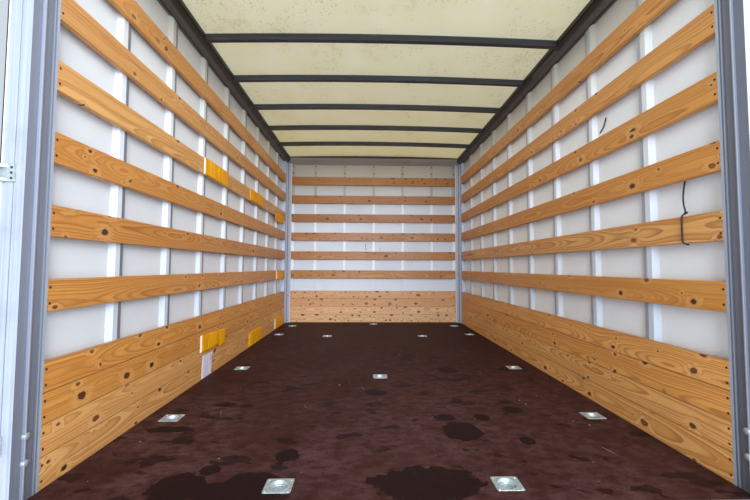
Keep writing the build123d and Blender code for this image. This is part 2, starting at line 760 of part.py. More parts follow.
# Lock bars with a cam at each end and a handle
bar_along = pivot_x - bar_place
bar_away = door_outer - bar_stand
bar_low = floor - bar_over
bar_high = header_bottom + bar_over
with BuildPart() as bar:
    with BuildSketch(Plane.XY.offset(bar_low)):
        with Locations(on_door(bar_along, bar_away)):
            Circle(bar_radius)
            Circle(bar_radius - bar_wall, mode=Mode.SUBTRACT)
    extrude(amount=bar_high - bar_low)
    for low in (bar_low, bar_high - cam_height):
        door_slab((bar_along - cam_width / 2, bar_along + cam_width / 2),
                  (bar_away - cam_back / 2, bar_away + cam_back / 2), (low, low + cam_height))
    door_slab((bar_along - handle_length, bar_along),
              (bar_away - handle_thickness / 2, bar_away + handle_thickness / 2),
              (floor + handle_height - handle_width / 2, floor + handle_height + handle_width / 2))
save_pair(bar, "lock_bar")

# Guides that hold the lock bars to the leaves
with BuildPart() as guides:
    guide_seat = door_outer + door_recess
    for height in guide_heights:
        span = (floor + height - guide_height / 2, floor + height + guide_height / 2)
        with BuildSketch(Plane.XY.offset(span[0])):
            with Locations(on_door(bar_along, (bar_away + guide_seat) / 2)):
                Rectangle(guide_seat - bar_away, guide_width)
            with Locations(on_door(bar_along, bar_away)):
                RegularPolygon(bar_radius + seat_gap, guide_sides, major_radius=False, mode=Mode.SUBTRACT)
        extrude(amount=guide_height)
save_pair(guides, "lock_guides")

# Keepers for the cams, on the sill and on the header
with BuildPart() as keepers:
    ear_in = cam_width / 2 + keeper_gap
    for low in (floor - bar_over - keeper_gap, header_bottom + bar_over + keeper_gap - keeper_height):
        slab((bar_place - ear_in - keeper_thickness, bar_place + ear_in + keeper_thickness),
             (rear_y - keeper_thickness / 2, rear_y), (low, low + keeper_height))
        for start in (bar_place - ear_in - keeper_thickness, bar_place + ear_in):
            slab((start, start + keeper_thickness), (rear_y - keeper_reach, rear_y),
                 (low, low + keeper_height))
save_both_sides(keepers, "cam_keepers")
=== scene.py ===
import bmesh
import bpy
import math
import numpy as np
from mathutils import Matrix, Vector


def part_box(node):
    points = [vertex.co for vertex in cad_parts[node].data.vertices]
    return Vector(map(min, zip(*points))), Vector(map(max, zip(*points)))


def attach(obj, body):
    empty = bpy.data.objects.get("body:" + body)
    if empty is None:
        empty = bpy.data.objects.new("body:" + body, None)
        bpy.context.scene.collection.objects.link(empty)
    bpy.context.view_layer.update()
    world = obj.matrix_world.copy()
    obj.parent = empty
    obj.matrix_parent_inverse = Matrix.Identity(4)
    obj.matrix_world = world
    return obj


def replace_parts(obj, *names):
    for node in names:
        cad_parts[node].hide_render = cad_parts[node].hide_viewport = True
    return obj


# The cargo box of a box truck, seen from its open rear, in metres.

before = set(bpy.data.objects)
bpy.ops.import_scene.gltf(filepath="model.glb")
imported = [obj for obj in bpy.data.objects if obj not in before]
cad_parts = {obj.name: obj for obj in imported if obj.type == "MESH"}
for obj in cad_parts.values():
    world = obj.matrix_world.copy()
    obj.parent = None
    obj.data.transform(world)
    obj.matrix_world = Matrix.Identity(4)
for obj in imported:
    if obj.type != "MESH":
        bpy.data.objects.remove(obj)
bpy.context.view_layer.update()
print("frame loaded with", len(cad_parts), "nodes")

# Places read from the frame
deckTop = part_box("floor_deck")[1].z
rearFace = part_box("rear_sill")[0].y
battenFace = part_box("side_battens_right")[0].x
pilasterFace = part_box("side_pilasters_right")[0].x
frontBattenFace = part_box("bulkhead_battens")[0].y
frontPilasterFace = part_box("bulkhead_pilasters")[0].y
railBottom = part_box("side_pilasters_right")[1].z
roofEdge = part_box("roof_skin")[0].z
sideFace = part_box("side_rail_right")[1].x
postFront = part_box("rear_post_right")[1].y
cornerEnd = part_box("corner_post_right")[0].y
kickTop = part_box("side_kickboard_right")[1].z
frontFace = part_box("bulkhead")[1].y
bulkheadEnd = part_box("bulkhead")[1].x
doorMiddle = sum(end.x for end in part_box("door_right")) / 2
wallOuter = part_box("side_wall_right")[1].x
battenHeight = 0.112
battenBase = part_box("side_battens_right")[0].z + battenHeight / 2     # middle of the lowest batten
battenPitch = (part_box("side_battens_right")[1].z - battenHeight / 2 - battenBase) / 5
pilasterWidth = 0.030
tornEnd = rearFace + 1.6      # the pad on the kickboard that starts before this place is torn


# Camera, light and floor

cameraSettings = {
    "lens": 17.23,
    "sensor": 36.0,
    "aside": -0.100,     # from the middle of the body, to the right
    "behind": 1.170,     # from the rear face
    "above": 0.760,      # from the floor of the load space
    "yaw": 1.371,        # degrees to the right
    "pitch": 2.72,       # degrees up
    "roll": 0.248,       # degrees, right side up
}


def makeCamera(setting):
    # The camera stands upright and looks forward before it is rolled, pitched and yawed.
    yaw, pitch, roll = (math.radians(setting[key]) for key in ("yaw", "pitch", "roll"))
    data = bpy.data.cameras.new("camera")
    data.lens = setting["lens"]
    data.sensor_width = setting["sensor"]
    data.clip_start = 0.05
    camera = bpy.data.objects.new("camera", data)
    place = setting["aside"], rearFace - setting["behind"], deckTop + setting["above"]
    turned = Matrix.Rotation(-yaw, 4, "Z") @ Matrix.Rotation(math.pi / 2 + pitch, 4, "X")
    camera.matrix_world = Matrix.Translation(place) @ turned @ Matrix.Rotation(roll, 4, "Z")
    bpy.context.scene.collection.objects.link(camera)
    bpy.context.scene.camera = camera


lightSettings = {
    "skyColour": (0.80, 0.90, 1.0),
    "skyStrength": 0.80,
    "softboxes": (      # name, place, aim, width, length, watts, colour
        ("rearSoftbox", (0.9, -6.5, 3.0), (-0.4, 0.5, 1.1), 5.5, 3.2, 680.0, (0.86, 0.93, 1.0)),
        ("topSoftbox", (2.0, 1.0, 7.5), (0.0, 0.0, 1.0), 5.0, 5.0, 110.0, (1.0, 0.98, 0.94)),
        ("roofGlow", (0.0, 0.05, 2.424), (0.0, 0.05, 0.0), 2.16, 3.5, 7.0, (0.97, 0.95, 0.86)),
    ),
}


def makeLights(setting):
    # Each softbox is a rectangle that faces from its place to its aim.
    world = bpy.data.worlds.new("studio")
    world.use_nodes = True
    sky = world.node_tree.nodes["Background"]
    sky.inputs["Color"].default_value = (*setting["skyColour"], 1.0)
    sky.inputs["Strength"].default_value = setting["skyStrength"]
    bpy.context.scene.world = world
    for name, place, aim, width, length, watts, colour in setting["softboxes"]:
        data = bpy.data.lights.new(name, "AREA")
        data.shape = "RECTANGLE"
        data.size = width
        data.size_y = length
        data.energy = watts
        data.color = colour
        softbox = bpy.data.objects.new(name, data)
        softbox.location = place
        softbox.rotation_mode = "QUATERNION"
        softbox.rotation_quaternion = (Vector(aim) - Vector(place)).to_track_quat("-Z", "Y")
        softbox.visible_camera = False
        bpy.context.scene.collection.objects.link(softbox)


# Shader sums

class Flow:
    # A socket of a material, so that sums on it are written as Python sums.
    def __init__(self, material, socket=None):
        self.material = material
        self.socket = socket

    def node(self, kind, settings=None, inputs=None, out=0):
        tree = self.material.node_tree
        made = tree.nodes.new(kind)
        for name, value in (settings or {}).items():
            setattr(made, name, value)
        for name, value in (inputs or {}).items():
            if isinstance(value, Flow):
                tree.links.new(value.socket, made.inputs[name])
            else:
                made.inputs[name].default_value = value
        return Flow(self.material, made.outputs[out]) if made.outputs else None

    def maths(self, operation, *others):
        return self.node("ShaderNodeMath", {"operation": operation}, dict(enumerate((self, *others))))

    def vectorMaths(self, operation, other, out=0):
        return self.node("ShaderNodeVectorMath", {"operation": operation}, {0: self, 1: other}, out)

    def __add__(self, other):
        return self.maths("ADD", other)

    __radd__ = __add__

    def __sub__(self, other):
        return self.maths("SUBTRACT", other)

    def __rsub__(self, other):
        return self.node("ShaderNodeMath", {"operation": "SUBTRACT"}, {0: other, 1: self})

    def __mul__(self, other):
        return self.maths("MULTIPLY", other)

    __rmul__ = __mul__

    def __truediv__(self, other):
        return self.maths("DIVIDE", other)

    def __pow__(self, other):
        return self.maths("POWER", other)

    def __abs__(self):
        return self.maths("ABSOLUTE")

    def parts(self):
        return [self.node("ShaderNodeSeparateXYZ", inputs={0: self}, out=axis) for axis in range(3)]

    def joined(self, x, y, z):
        return self.node("ShaderNodeCombineXYZ", inputs={0: x, 1: y, 2: z})

    def stretched(self, *factors):
        return self.vectorMaths("MULTIPLY", factors)

    def noise(self, scale=1.0, detail=3.0, roughness=0.55):
        # The scale is one number, or one for each axis.
        if isinstance(scale, tuple):
            return self.stretched(*scale).noise(1.0, detail, roughness)
        return self.node("ShaderNodeTexNoise", inputs={
            "Vector": self, "Scale": scale, "Detail": detail, "Roughness": roughness})

    def cells(self, scale, out, randomness=1.0):
        # The nearest cell's Distance or Position, or its random Color.
        return self.node("ShaderNodeTexVoronoi", inputs={
            "Vector": self, "Scale": scale, "Randomness": randomness}, out=out)

    def ramp(self, low, high, to=1.0):
        # Rises smoothly from 0 at low to the last value at high, and falls where low is above high.
        return self.node("ShaderNodeMapRange", {"interpolation_type": "SMOOTHSTEP"}, {
            "Value": self, "From Min": low, "From Max": high, "To Max": to})

    def between(self, first, second):
        # The colour that lies this share of the way from the first colour to the second.
        ends = [end if isinstance(end, Flow) else (*end, 1.0) for end in (first, second)]
        return self.node("ShaderNodeMix", {"data_type": "RGBA"}, {0: self, 6: ends[0], 7: ends[1]}, 2)

    def chance(self):
        # Three random numbers for each value of this one.
        return self.node("ShaderNodeTexWhiteNoise", {"noise_dimensions": "1D"}, {"W": self}, 1).parts()


def newMaterial(name):
    material = bpy.data.materials.new(name)
    material.use_nodes = True
    material.node_tree.nodes.clear()
    return Flow(material).node("ShaderNodeTexCoord", out="Object")


def layered(colours, first, *coats):
    # Lays each coat over what is below it, by its share. Colours are worked out, or named in the settings.
    colour = first if isinstance(first, Flow) else colours[first]
    for share, over in coats:
        colour = share.between(colour, over if isinstance(over, Flow) else colours[over])
    return colour


def coat(place, colour, roughness, height=None, depth=0.001, extra=None):
    # One shader: colour and roughness as given, height as bump, and what its other sockets are given.
    inputs = {"Base Color": colour, "Roughness": roughness, **(extra or {})}
    if height is not None:
        inputs["Normal"] = place.node("ShaderNodeBump", inputs={"Height": height, "Distance": depth})
    place.node("ShaderNodeOutputMaterial", inputs={
        "Surface": place.node("ShaderNodeBsdfPrincipled", inputs=inputs)})
    return place.material


def dress(material, *nodeNames):
    for name in nodeNames:
        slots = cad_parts[name].data.materials
        slots.clear()
        slots.append(material)


def bothSides(name):
    return name + "_left", name + "_right"


# Materials of the frame's own nodes

pineSettings = {
    "varnished": {"early": (0.66, 0.295, 0.068), "late": (0.31, 0.105, 0.020),
                  "pale": (0.78, 0.440, 0.165), "dark": (0.49, 0.180, 0.034)},
    "reddish": {"early": (0.62, 0.250, 0.044), "late": (0.29, 0.095, 0.016),
                "pale": (0.70, 0.330, 0.080), "dark": (0.46, 0.155, 0.026)},
    "bare": {"early": (0.77, 0.44, 0.215), "late": (0.42, 0.18, 0.065),
             "pale": (0.81, 0.51, 0.275), "dark": (0.62, 0.30, 0.120)},
    "knot": (0.070, 0.023, 0.010),
    "knotHeart": (0.26, 0.085, 0.026),
    "knotRim": (0.40, 0.16, 0.045),
    "dirt": (0.20, 0.12, 0.075),
    "ringWidth": 0.0052,
    "ringShare": (0.38, 0.38),      # least strength of the late wood, and what a board's luck adds
    "ringTint": 0.60,               # how much darker the darkest ring is
    "pith": 0.060,                  # mean depth of the pith behind the face
    "wander": 0.20,
    "paleBoards": 0.216,            # height of the two lowest boards, which are paler
    "sparse": (0.22, 0.080, 0.0074, 0.30),      # cell along and across the board, knot size, pale halo
    "dense": (0.15, 0.062, 0.0094, 0.10),
}


def pineMaterial(place, setting, along, first, pitch, seed, side, face, knots, knotty, tone, paintedLight,
                 seamShade):
    # Growth rings are the distance from a pith line that wanders behind the board's face, divided by the ring
    # width. Knots are the nearest points of a cell pattern, and push the rings aside. Each board draws its
    # own numbers. Its face lies at this place along the other level axis, on this side of the body.
    # The tone's colours are scaled by a factor of painted light: above 1 a lit copy, below 1 a shaded one.
    tones = {key: tuple(part * paintedLight for part in colour) for key, colour in setting[tone].items()}
    colours = {**setting, **tones}
    x, y, z = place.parts()
    run, depth = (y, x * side - face) if along == "Y" else (x, y - face)
    board = ((z - first) / pitch).maths("FLOOR")
    height = z - (board + 0.5) * pitch - first
    one, two, three = (board + seed).chance()
    shifted = run + one * 37.0
    wander = place.joined(shifted * 0.75, one * 9.0, two * 9.0).noise(detail=2.0)
    # Knots: how far away the nearest is, stretched along the board and ragged, against its radius
    cellLong, cellHigh, knotSize, haloShare = setting[knots]
    spot = place.joined(shifted / cellLong, height / cellHigh, board * 7.3 + seed)
    luck, size, stain = spot.cells(1.0, "Color", 0.9).parts()
    away = spot.vectorMaths("SUBTRACT", spot.cells(1.0, "Position", 0.9))
    away = away.stretched(cellLong * 0.68, cellHigh, 0.0)
    ragged = place.joined(shifted * 60.0, height * 60.0, board).noise(detail=2.0)
    away = away.vectorMaths("LENGTH", (0, 0, 0), 1) * (ragged * 1.1 + 0.45)
    present = luck.ramp(knotty - 0.03, knotty + 0.03)
    radius = (size ** 2.0 * 1.3 + 0.40) * knotSize
    reach = away / radius
    push = ((away / (radius * 3.0)) ** 2.0 * -1.0).maths("EXPONENT") * present * 0.012
    # Rings: how far the pith is, counted in ring widths
    core = (wander - 0.5) * setting["wander"] + depth + setting["pith"]
    offset = height - (two - 0.5) * 0.08
    fine = place.joined(shifted * 3.0, height * 22.0, depth * 22.0).noise()
    ring = (core ** 2.0 + offset ** 2.0).maths("SQRT") + push + (fine - 0.5) * 0.004
    count = ring / (setting["ringWidth"] * (three * 0.8 + 0.7))
    phase = count.maths("FRACT")
    tint, _, _ = count.maths("FLOOR").chance()
    late = phase.ramp(0.42, 0.95) * phase.ramp(1.0, 0.93)
    fibre = place.joined(shifted * 14.0, height * 520.0, depth * 520.0).noise(detail=2.0)
    streak = place.joined(shifted * 1.6, height * 60.0, depth * 60.0).noise()
    smear = place.noise((3.0, 3.0, 9.0), 5.0, 0.65)
    seam = abs(((z - first) / pitch + 0.5).maths("FRACT") - 0.5) * pitch
    lowest = deckTop + setting["paleBoards"]
    least, luckShare = setting["ringShare"]
    heart = reach.ramp(1.10, 1.00) * present
    wood = layered(
        colours, "early",
        (one.ramp(0.55, 1.0, 0.75), "pale"), (two.ramp(0.5, 1.0, 0.75), "dark"),
        (streak.ramp(0.40, 0.75, 0.55), "dark"),
        (z.ramp(lowest + 0.004, lowest - 0.004, 0.65), "pale"),
        (tint.ramp(0.45, 1.0, setting["ringTint"]), "dark"),
        (fibre.ramp(0.45, 0.75, 0.25), "late"),
        (late * (three * luckShare + least), "late"),
        (reach.ramp(4.2, 2.2) * present * haloShare, "pale"),
        (reach.ramp(1.9, 1.1) * present * 0.6, "knotRim"),
        (heart, stain.ramp(0.25, 0.85).between(setting["knot"], setting["knotHeart"])),
        (reach.ramp(1.28, 1.12) * reach.ramp(0.78, 0.92) * present * 0.8, "knot"),
        (smear.ramp(0.62, 0.80, 0.35), "dirt"),
        (seam.ramp(0.0045, 0.0025, seamShade), "knot"))
    gloss = smear.ramp(0.45, 0.75, 0.22) + 0.40 + late * 0.08
    return coat(place, wood, gloss, fibre * 0.4 + late * 0.3 - heart * 0.8, 0.0006,
                {"Coat Weight": 0.12, "Coat Roughness": 0.30})


panelSettings = {
    "white": (0.77, 0.80, 0.85),
    "bright": (0.78, 0.82, 0.90),
    "shaded": (0.70, 0.74, 0.83),
    # painted light: a brighter, bluer white for the right wall, which takes more light
    "clean": (0.91, 0.95, 1.0),
    # painted shade under the roof, for the left wall, the right wall and the bulkhead
    "warm": (0.66, 0.65, 0.58),
    "beige": (0.56, 0.52, 0.44),
    "tan": (0.50, 0.43, 0.30),
    "smudge": (0.52, 0.53, 0.55),
    "speck": (0.10, 0.10, 0.11),
    "scuffs": (         # dark marks on the bulkhead: across, above the floor, half width, half height
        (-0.112, 1.041, 0.005, 0.045), (-0.095, 1.005, 0.004, 0.015),
        (0.091, 1.014, 0.004, 0.028), (0.830, 2.000, 0.006, 0.012),
    ),
    # painted shade: the doors' outer skins darkened to grey
    "doorOuterShade": (0.33, 0.36, 0.41),
    "skin": 0.005,      # from a wall's outer face to where its inside starts
    # pilaster colours; the low and top ones are painted shade
    "sideLow": (0.60, 0.67, 0.78),
    "sideTop": (0.56, 0.55, 0.50),
    "stripWhite": (0.93, 0.97, 1.0),
    "stripLow": (0.70, 0.74, 0.84),
    "stripTop": (0.46, 0.43, 0.36),
}


def panelMaterial(place, setting, white, warm, roofShadeDepth, roofShadeShare):
    # White coated sheet with smudges, upright scuffs and dark specks, with painted shade indoors from this
    # depth below the roof, warmer and darker towards it. The bulkhead bears dark ragged marks. The doors'
    # outer skins, which rest inwards, are darkened to grey as painted shade.
    cloud = place.noise(2.2, 5.0, 0.6)
    scuff = place.noise((26.0, 26.0, 5.0), 4.0, 0.7)
    fine = place.noise(320.0, 2.0)
    luck, size, _ = place.cells(9.0, "Color").parts()
    speck = (place.cells(9.0, "Distance") / (size * 0.022 + 0.004)).ramp(1.0, 0.7) * luck.ramp(0.80, 0.82)
    x, y, z = place.parts()
    aside = abs(x)
    wallIn, frontIn = wallOuter - setting["skin"], frontFace - setting["skin"]
    indoors = aside.ramp(wallIn + 0.001, wallIn - 0.001) * y.ramp(frontIn + 0.001, frontIn - 0.001)
    # the doors' outer skins, which get painted shade
    street = aside.ramp(wallOuter + 0.002, wallOuter + 0.003)
    street = street * aside.ramp(doorMiddle + 0.001, doorMiddle - 0.001)
    grime = z.ramp(deckTop + 0.9, deckTop - 0.1) * cloud.ramp(0.35, 0.75, 0.22)
    marks = []
    for across, rise, halfWidth, halfHeight in setting["scuffs"] if white == "shaded" else ():
        reach = ((x - across) / halfWidth) ** 2.0 + ((z - deckTop - rise) / halfHeight) ** 2.0
        marks.append(((reach + (scuff - 0.5) * 3.0).ramp(1.1, 0.7, 0.75) * indoors, "speck"))
    colour = layered(
        setting, white,
        (cloud.ramp(0.45, 0.80, 0.16) + grime, "smudge"),
        # painted shade under the roof
        (z.ramp(roofEdge - roofShadeDepth, roofEdge, roofShadeShare) * indoors, warm),
        # painted shade on the doors' outer skins
        (street, "doorOuterShade"),
        *marks, (scuff.ramp(0.66, 0.78, 0.14), "smudge"), (speck * 0.85, "speck"))
    return coat(place, colour, cloud.ramp(0.3, 0.8, 0.2) + 0.30, fine * 0.25 + scuff * 0.2, 0.0005,
                {"Specular IOR Level": 0.4})


def stripMaterial(place, setting, low, white, top, lowTurn, topTurn):
    # A pilaster's white paint: three colours from the floor up, which turn about these heights. The low
    # colour is painted shade, darker and bluer near the floor, and the top colour is painted shade, darker
    # and browner under the roof.
    _, _, z = place.parts()
    cloud = place.noise((30.0, 30.0, 6.0), 4.0, 0.65)
    colour = layered(setting, low, (z.ramp(*lowTurn), white), (z.ramp(*topTurn), top),
                     (cloud.ramp(0.50, 0.80, 0.35), "smudge"))
    return coat(place, colour, cloud * 0.2 + 0.28, cloud, 0.0003)


aluminiumSettings = {
    "light": (0.44, 0.48, 0.57),
    "deep": (0.33, 0.36, 0.43),
    "dull": (0.23, 0.245, 0.29),
    "innerDark": (0.172, 0.180, 0.232),
    "innerDarkLow": (0.120, 0.124, 0.158),
    "bluish": (0.50, 0.57, 0.70),
    "corner": (0.62, 0.71, 0.96),
    # painted highlight line and painted shade in the groove, on the corner posts
    "cornerHighlight": (0.86, 0.90, 1.0),
    "cornerGrooveShade": (0.20, 0.22, 0.29),
    "metal": 0.30,
}


def drawnAluminium(place, setting, stretch, paintedLight):
    # Fine lines along the profile, cloudy dullness, and small dark scratches: colour, roughness and height.
    lines = place.noise(stretch, 3.0, 0.6)
    cloud = place.noise(4.5, 5.0, 0.62)
    marks = place.noise(tuple(factor * 0.18 for factor in stretch), 6.0, 0.7)
    # The colours are scaled by a factor of painted light, for a lit or shaded copy of the finish.
    tones = {key: tuple(part * paintedLight for part in setting[key]) for key in ("light", "deep", "dull")}
    colour = layered(tones, "light", (lines.ramp(0.30, 0.70), "deep"), (cloud.ramp(0.45, 0.75, 0.5), "dull"),
                     (marks.ramp(0.68, 0.74, 0.55), "dull"))
    return colour, lines * 0.12 + cloud.ramp(0.35, 0.75, 0.20) + 0.30, lines


def aluminiumMaterial(place, setting, stretch, paintedLight=1.0):
    # The same finish all over, lighter or darker by a factor of painted light.
    colour, roughness, lines = drawnAluminium(place, setting, stretch, paintedLight)
    return coat(place, colour, roughness, lines, 0.0003, {"Metallic": setting["metal"]})


def postMaterial(place, setting, stretch, paintedLight):
    # Bright on the rear face, and dark on what faces the load space up to the seat of the lip, darker towards
    # the floor, and lighter or darker on each side by painted light. A painted highlight lies on the lip's
    # end.
    colour, roughness, lines = drawnAluminium(place, setting, stretch, 1.0)
    x, y, z = place.parts()
    aside = abs(x)
    inner = aside.ramp(battenFace + 0.0045, battenFace + 0.0035) * y.ramp(rearFace, rearFace + 0.0005)
    # painted highlight on the end of the lip
    lipHighlight = aside.ramp(battenFace - 0.0085, battenFace - 0.0092)
    high, low = (tuple(part * paintedLight for part in setting[key]) for key in ("innerDark", "innerDarkLow"))
    band = y.ramp(postFront - 0.024, postFront - 0.021) * y.ramp(postFront - 0.0125, postFront - 0.0135, 0.6)
    edge = y.ramp(postFront - 0.012, postFront - 0.010, 0.75)
    colour = layered(
        setting, colour,
        (inner * 0.86, z.ramp(deckTop + 0.9, deckTop).between(high, low)),
        (band.maths("MAXIMUM", edge) * inner, "bluish"),
        (lipHighlight * 0.75, "light"))
    return coat(place, colour, roughness + inner * 0.15, lines, 0.0003, {"Metallic": setting["metal"]})


def cornerMaterial(place, setting, stretch):
    # A painted highlight line and a groove darkened with painted shade run up the slanted face, at shares
    # of its width from the bulkhead. The finish is made lighter by painted light.
    colour, roughness, lines = drawnAluminium(place, setting, stretch, 1.25)
    x, y, _ = place.parts()
    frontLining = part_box("bulkhead")[0].y
    share = (abs(x) - y - bulkheadEnd + frontLining) / (battenFace - cornerEnd - bulkheadEnd + frontLining)
    colour = layered(
        setting, (lines * 0.5 + 0.25).between(setting["corner"], colour),
        (share.ramp(0.14, 0.18) * share.ramp(0.32, 0.26), "cornerHighlight"),
        (share.ramp(0.50, 0.53) * share.ramp(0.63, 0.60, 0.8), "cornerGrooveShade"))
    return coat(place, colour, roughness, lines, 0.0003, {"Metallic": setting["metal"]})


railSettings = {
    "black": (0.012, 0.010, 0.011),
    "brown": (0.036, 0.031, 0.029),
    "worn": (0.052, 0.045, 0.042),
    "paleBrown": (0.118, 0.104, 0.092),
    "dust": (0.14, 0.120, 0.100),
    "outer": (0.44, 0.48, 0.57),
    "outerDull": (0.28, 0.30, 0.35),
    "bow": (0.022, 0.023, 0.033),
    "bowWorn": (0.050, 0.051, 0.064),
    "coveLight": (0.58, 0.57, 0.55),
    "coveGrey": (0.52, 0.49, 0.48),
    "coveWhite": (0.48, 0.50, 0.52),
}


def railMaterial(place, setting):
    # Dark satin paint with worn streaks and dust: near black beside the roof, and paler towards the wall.
    x, _, _ = place.parts()
    lines = place.noise((60.0, 2.0, 60.0), 4.0, 0.65)
    dust = place.noise(7.0, 6.0, 0.65)
    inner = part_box("cant_rail_right")[0].x
    share = (abs(x) - inner) / (pilasterFace - inner)
    outer = abs(x).ramp(wallOuter - 0.008, wallOuter - 0.006)
    colour = layered(
        setting, "black",
        (share.ramp(0.13, 0.20), "brown"), (share.ramp(0.40, 0.62), "paleBrown"),
        (lines.ramp(0.42, 0.72, 0.4), "worn"),
        (dust.ramp(0.52, 0.78, 0.35) * share.ramp(0.1, 0.4), "dust"),
        (outer, dust.ramp(0.45, 0.75, 0.5).between(setting["outer"], setting["outerDull"])))
    return coat(place, colour, dust.ramp(0.3, 0.7, 0.25) + 0.34, lines * 0.6 + dust * 0.4, 0.0004,
                {"Metallic": outer * 0.3})


def bowMaterial(place, setting):
    # Near-black bluish paint with long worn streaks.
    lines = place.noise((2.0, 90.0, 90.0), 4.0, 0.65)
    dust = place.noise(7.0, 6.0, 0.65)
    colour = layered(setting, "bow", (lines.ramp(0.40, 0.68, 0.8), "bowWorn"),
                     (dust.ramp(0.58, 0.85, 0.25), "dust"))
    return coat(place, colour, dust.ramp(0.3, 0.7, 0.25) + 0.34, lines * 0.6 + dust * 0.4, 0.0004)


def coveMaterial(place, setting):
    # The cove over the bulkhead: dark at its edge, then a light band, and brown-grey below its groove.
    _, y, _ = place.parts()
    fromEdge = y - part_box("front_header")[0].y
    lines = place.noise((2.0, 70.0, 70.0), 4.0, 0.65)
    dust = place.noise(6.0, 5.0, 0.6)
    colour = layered(
        setting, "brown",
        (fromEdge.ramp(0.001, 0.004), "coveLight"), (fromEdge.ramp(0.055, 0.062), "coveGrey"),
        (fromEdge.ramp(0.185, 0.200), "coveWhite"),
        (lines.ramp(0.45, 0.75, 0.35), "brown"), (dust.ramp(0.50, 0.80, 0.30), "dust"))
    return coat(place, colour, dust.ramp(0.3, 0.7, 0.2) + 0.42, lines * 0.6 + dust * 0.4, 0.0004)


roofSettings = {
    "cream": (0.74, 0.730, 0.505),
    "pale": (0.84, 0.85, 0.68),
    "stain": (0.30, 0.30, 0.23),
    "bow": (0.45, 0.44, 0.33),
    "frontCream": (0.80, 0.725, 0.345),
    "strand": (0.95, 0.96, 0.84),
    "sooty": (0.42, 0.42, 0.38),
    "unlit": (0.0, 0.0, 0.0),
    "thickness": 0.003,
    "bowWidth": 0.034,
    "glow": 0.36,
}


def roofMaterial(place, setting):
    # Glass-fibre sheet: slanted pale strands, clouds, grey speckles, and darker bands over the bows, which
    # are painted shadows of the bows. Its underside, over half a thickness below the upper face's parabola,
    # glows with daylight.
    bowLow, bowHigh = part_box("roof_bows")
    bowPitch = (bowHigh.y - bowLow.y - setting["bowWidth"]) / 5
    x, y, z = place.parts()
    toBow = ((y - bowLow.y - setting["bowWidth"] / 2) / bowPitch + 0.5).maths("FRACT") - 0.5
    # painted shadows of the bows
    bowShadow = (abs(toBow) * bowPitch).ramp(0.030, 0.012)
    slanted = place.joined(x * 80.0 + y * 22.0, y * 4.0 - x * 1.5, 0.0).noise(1.0, 3.0, 0.6)
    other = place.joined(x * 60.0 - y * 30.0, y * 5.0 + x * 3.0, 40.0).noise(1.0, 3.0, 0.6)
    cloud = place.noise((5.5, 3.6, 1.0), 7.0, 0.72)
    clusters = place.noise((3.4, 4.6, 1.0))
    speckle = place.noise((75.0, 95.0, 1.0), 3.0, 0.65)
    colour = layered(
        setting, "cream",
        (y.ramp(rearFace + 1.2, -rearFace), "frontCream"),
        (cloud.ramp(0.35, 0.72, 0.60), "pale"), (cloud.ramp(0.46, 0.28, 0.22), "stain"),
        (speckle.ramp(0.53, 0.62) * clusters.ramp(0.40, 0.62) * 0.42, "stain"),
        (speckle.ramp(0.655, 0.69, 0.6) * clusters.ramp(0.35, 0.5), "stain"),
        (slanted.ramp(0.60, 0.72, 0.40), "strand"), (other.ramp(0.64, 0.74, 0.30), "strand"),
        (bowShadow * 0.5, "bow"))
    half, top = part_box("roof_skin")[1].x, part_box("roof_skin")[1].z
    drop = top - z - x ** 2.0 * ((top - roofEdge - setting["thickness"]) / half ** 2)
    below = (drop / setting["thickness"]).ramp(0.35, 0.65)
    above = 1.0 - below
    shine = below.between(setting["unlit"], colour)
    colour = (above * (cloud * 0.5 + 0.55)).between(colour, setting["sooty"])
    return coat(place, colour, speckle * 0.2 + 0.40 + above * 0.25, slanted * 0.5 + speckle * 0.3, 0.0005,
                {"Emission Color": shine, "Emission Strength": setting["glow"]})


floorSettings = {
    "film": (0.030, 0.0076, 0.0058),
    "scuffed": (0.062, 0.0215, 0.0180),
    "dusty": (0.112, 0.056, 0.056),
    "wet": (0.0085, 0.0022, 0.0026),
    "grit": (0.42, 0.38, 0.36),
    "wetPlaces": (      # across, from the rear face, half width, half length
        (0.12, 0.13, 0.178, 0.095), (0.35, 0.53, 0.080, 0.088), (0.30, 0.68, 0.046, 0.037),
        (0.49, 0.68, 0.036, 0.037), (0.69, 0.77, 0.043, 0.044), (-0.04, 1.04, 0.055, 0.053),
        (0.61, 0.43, 0.030, 0.032), (0.51, 1.52, 0.070, 0.070), (-0.75, 0.12, 0.085, 0.080),
        (-0.50, 0.11, 0.095, 0.088), (-0.61, 0.09, 0.070, 0.048), (-0.68, 0.22, 0.034, 0.032),
        (-0.41, 0.32, 0.040, 0.042), (-1.01, 0.56, 0.095, 0.030), (-0.86, 0.86, 0.050, 0.028),
    ),
}


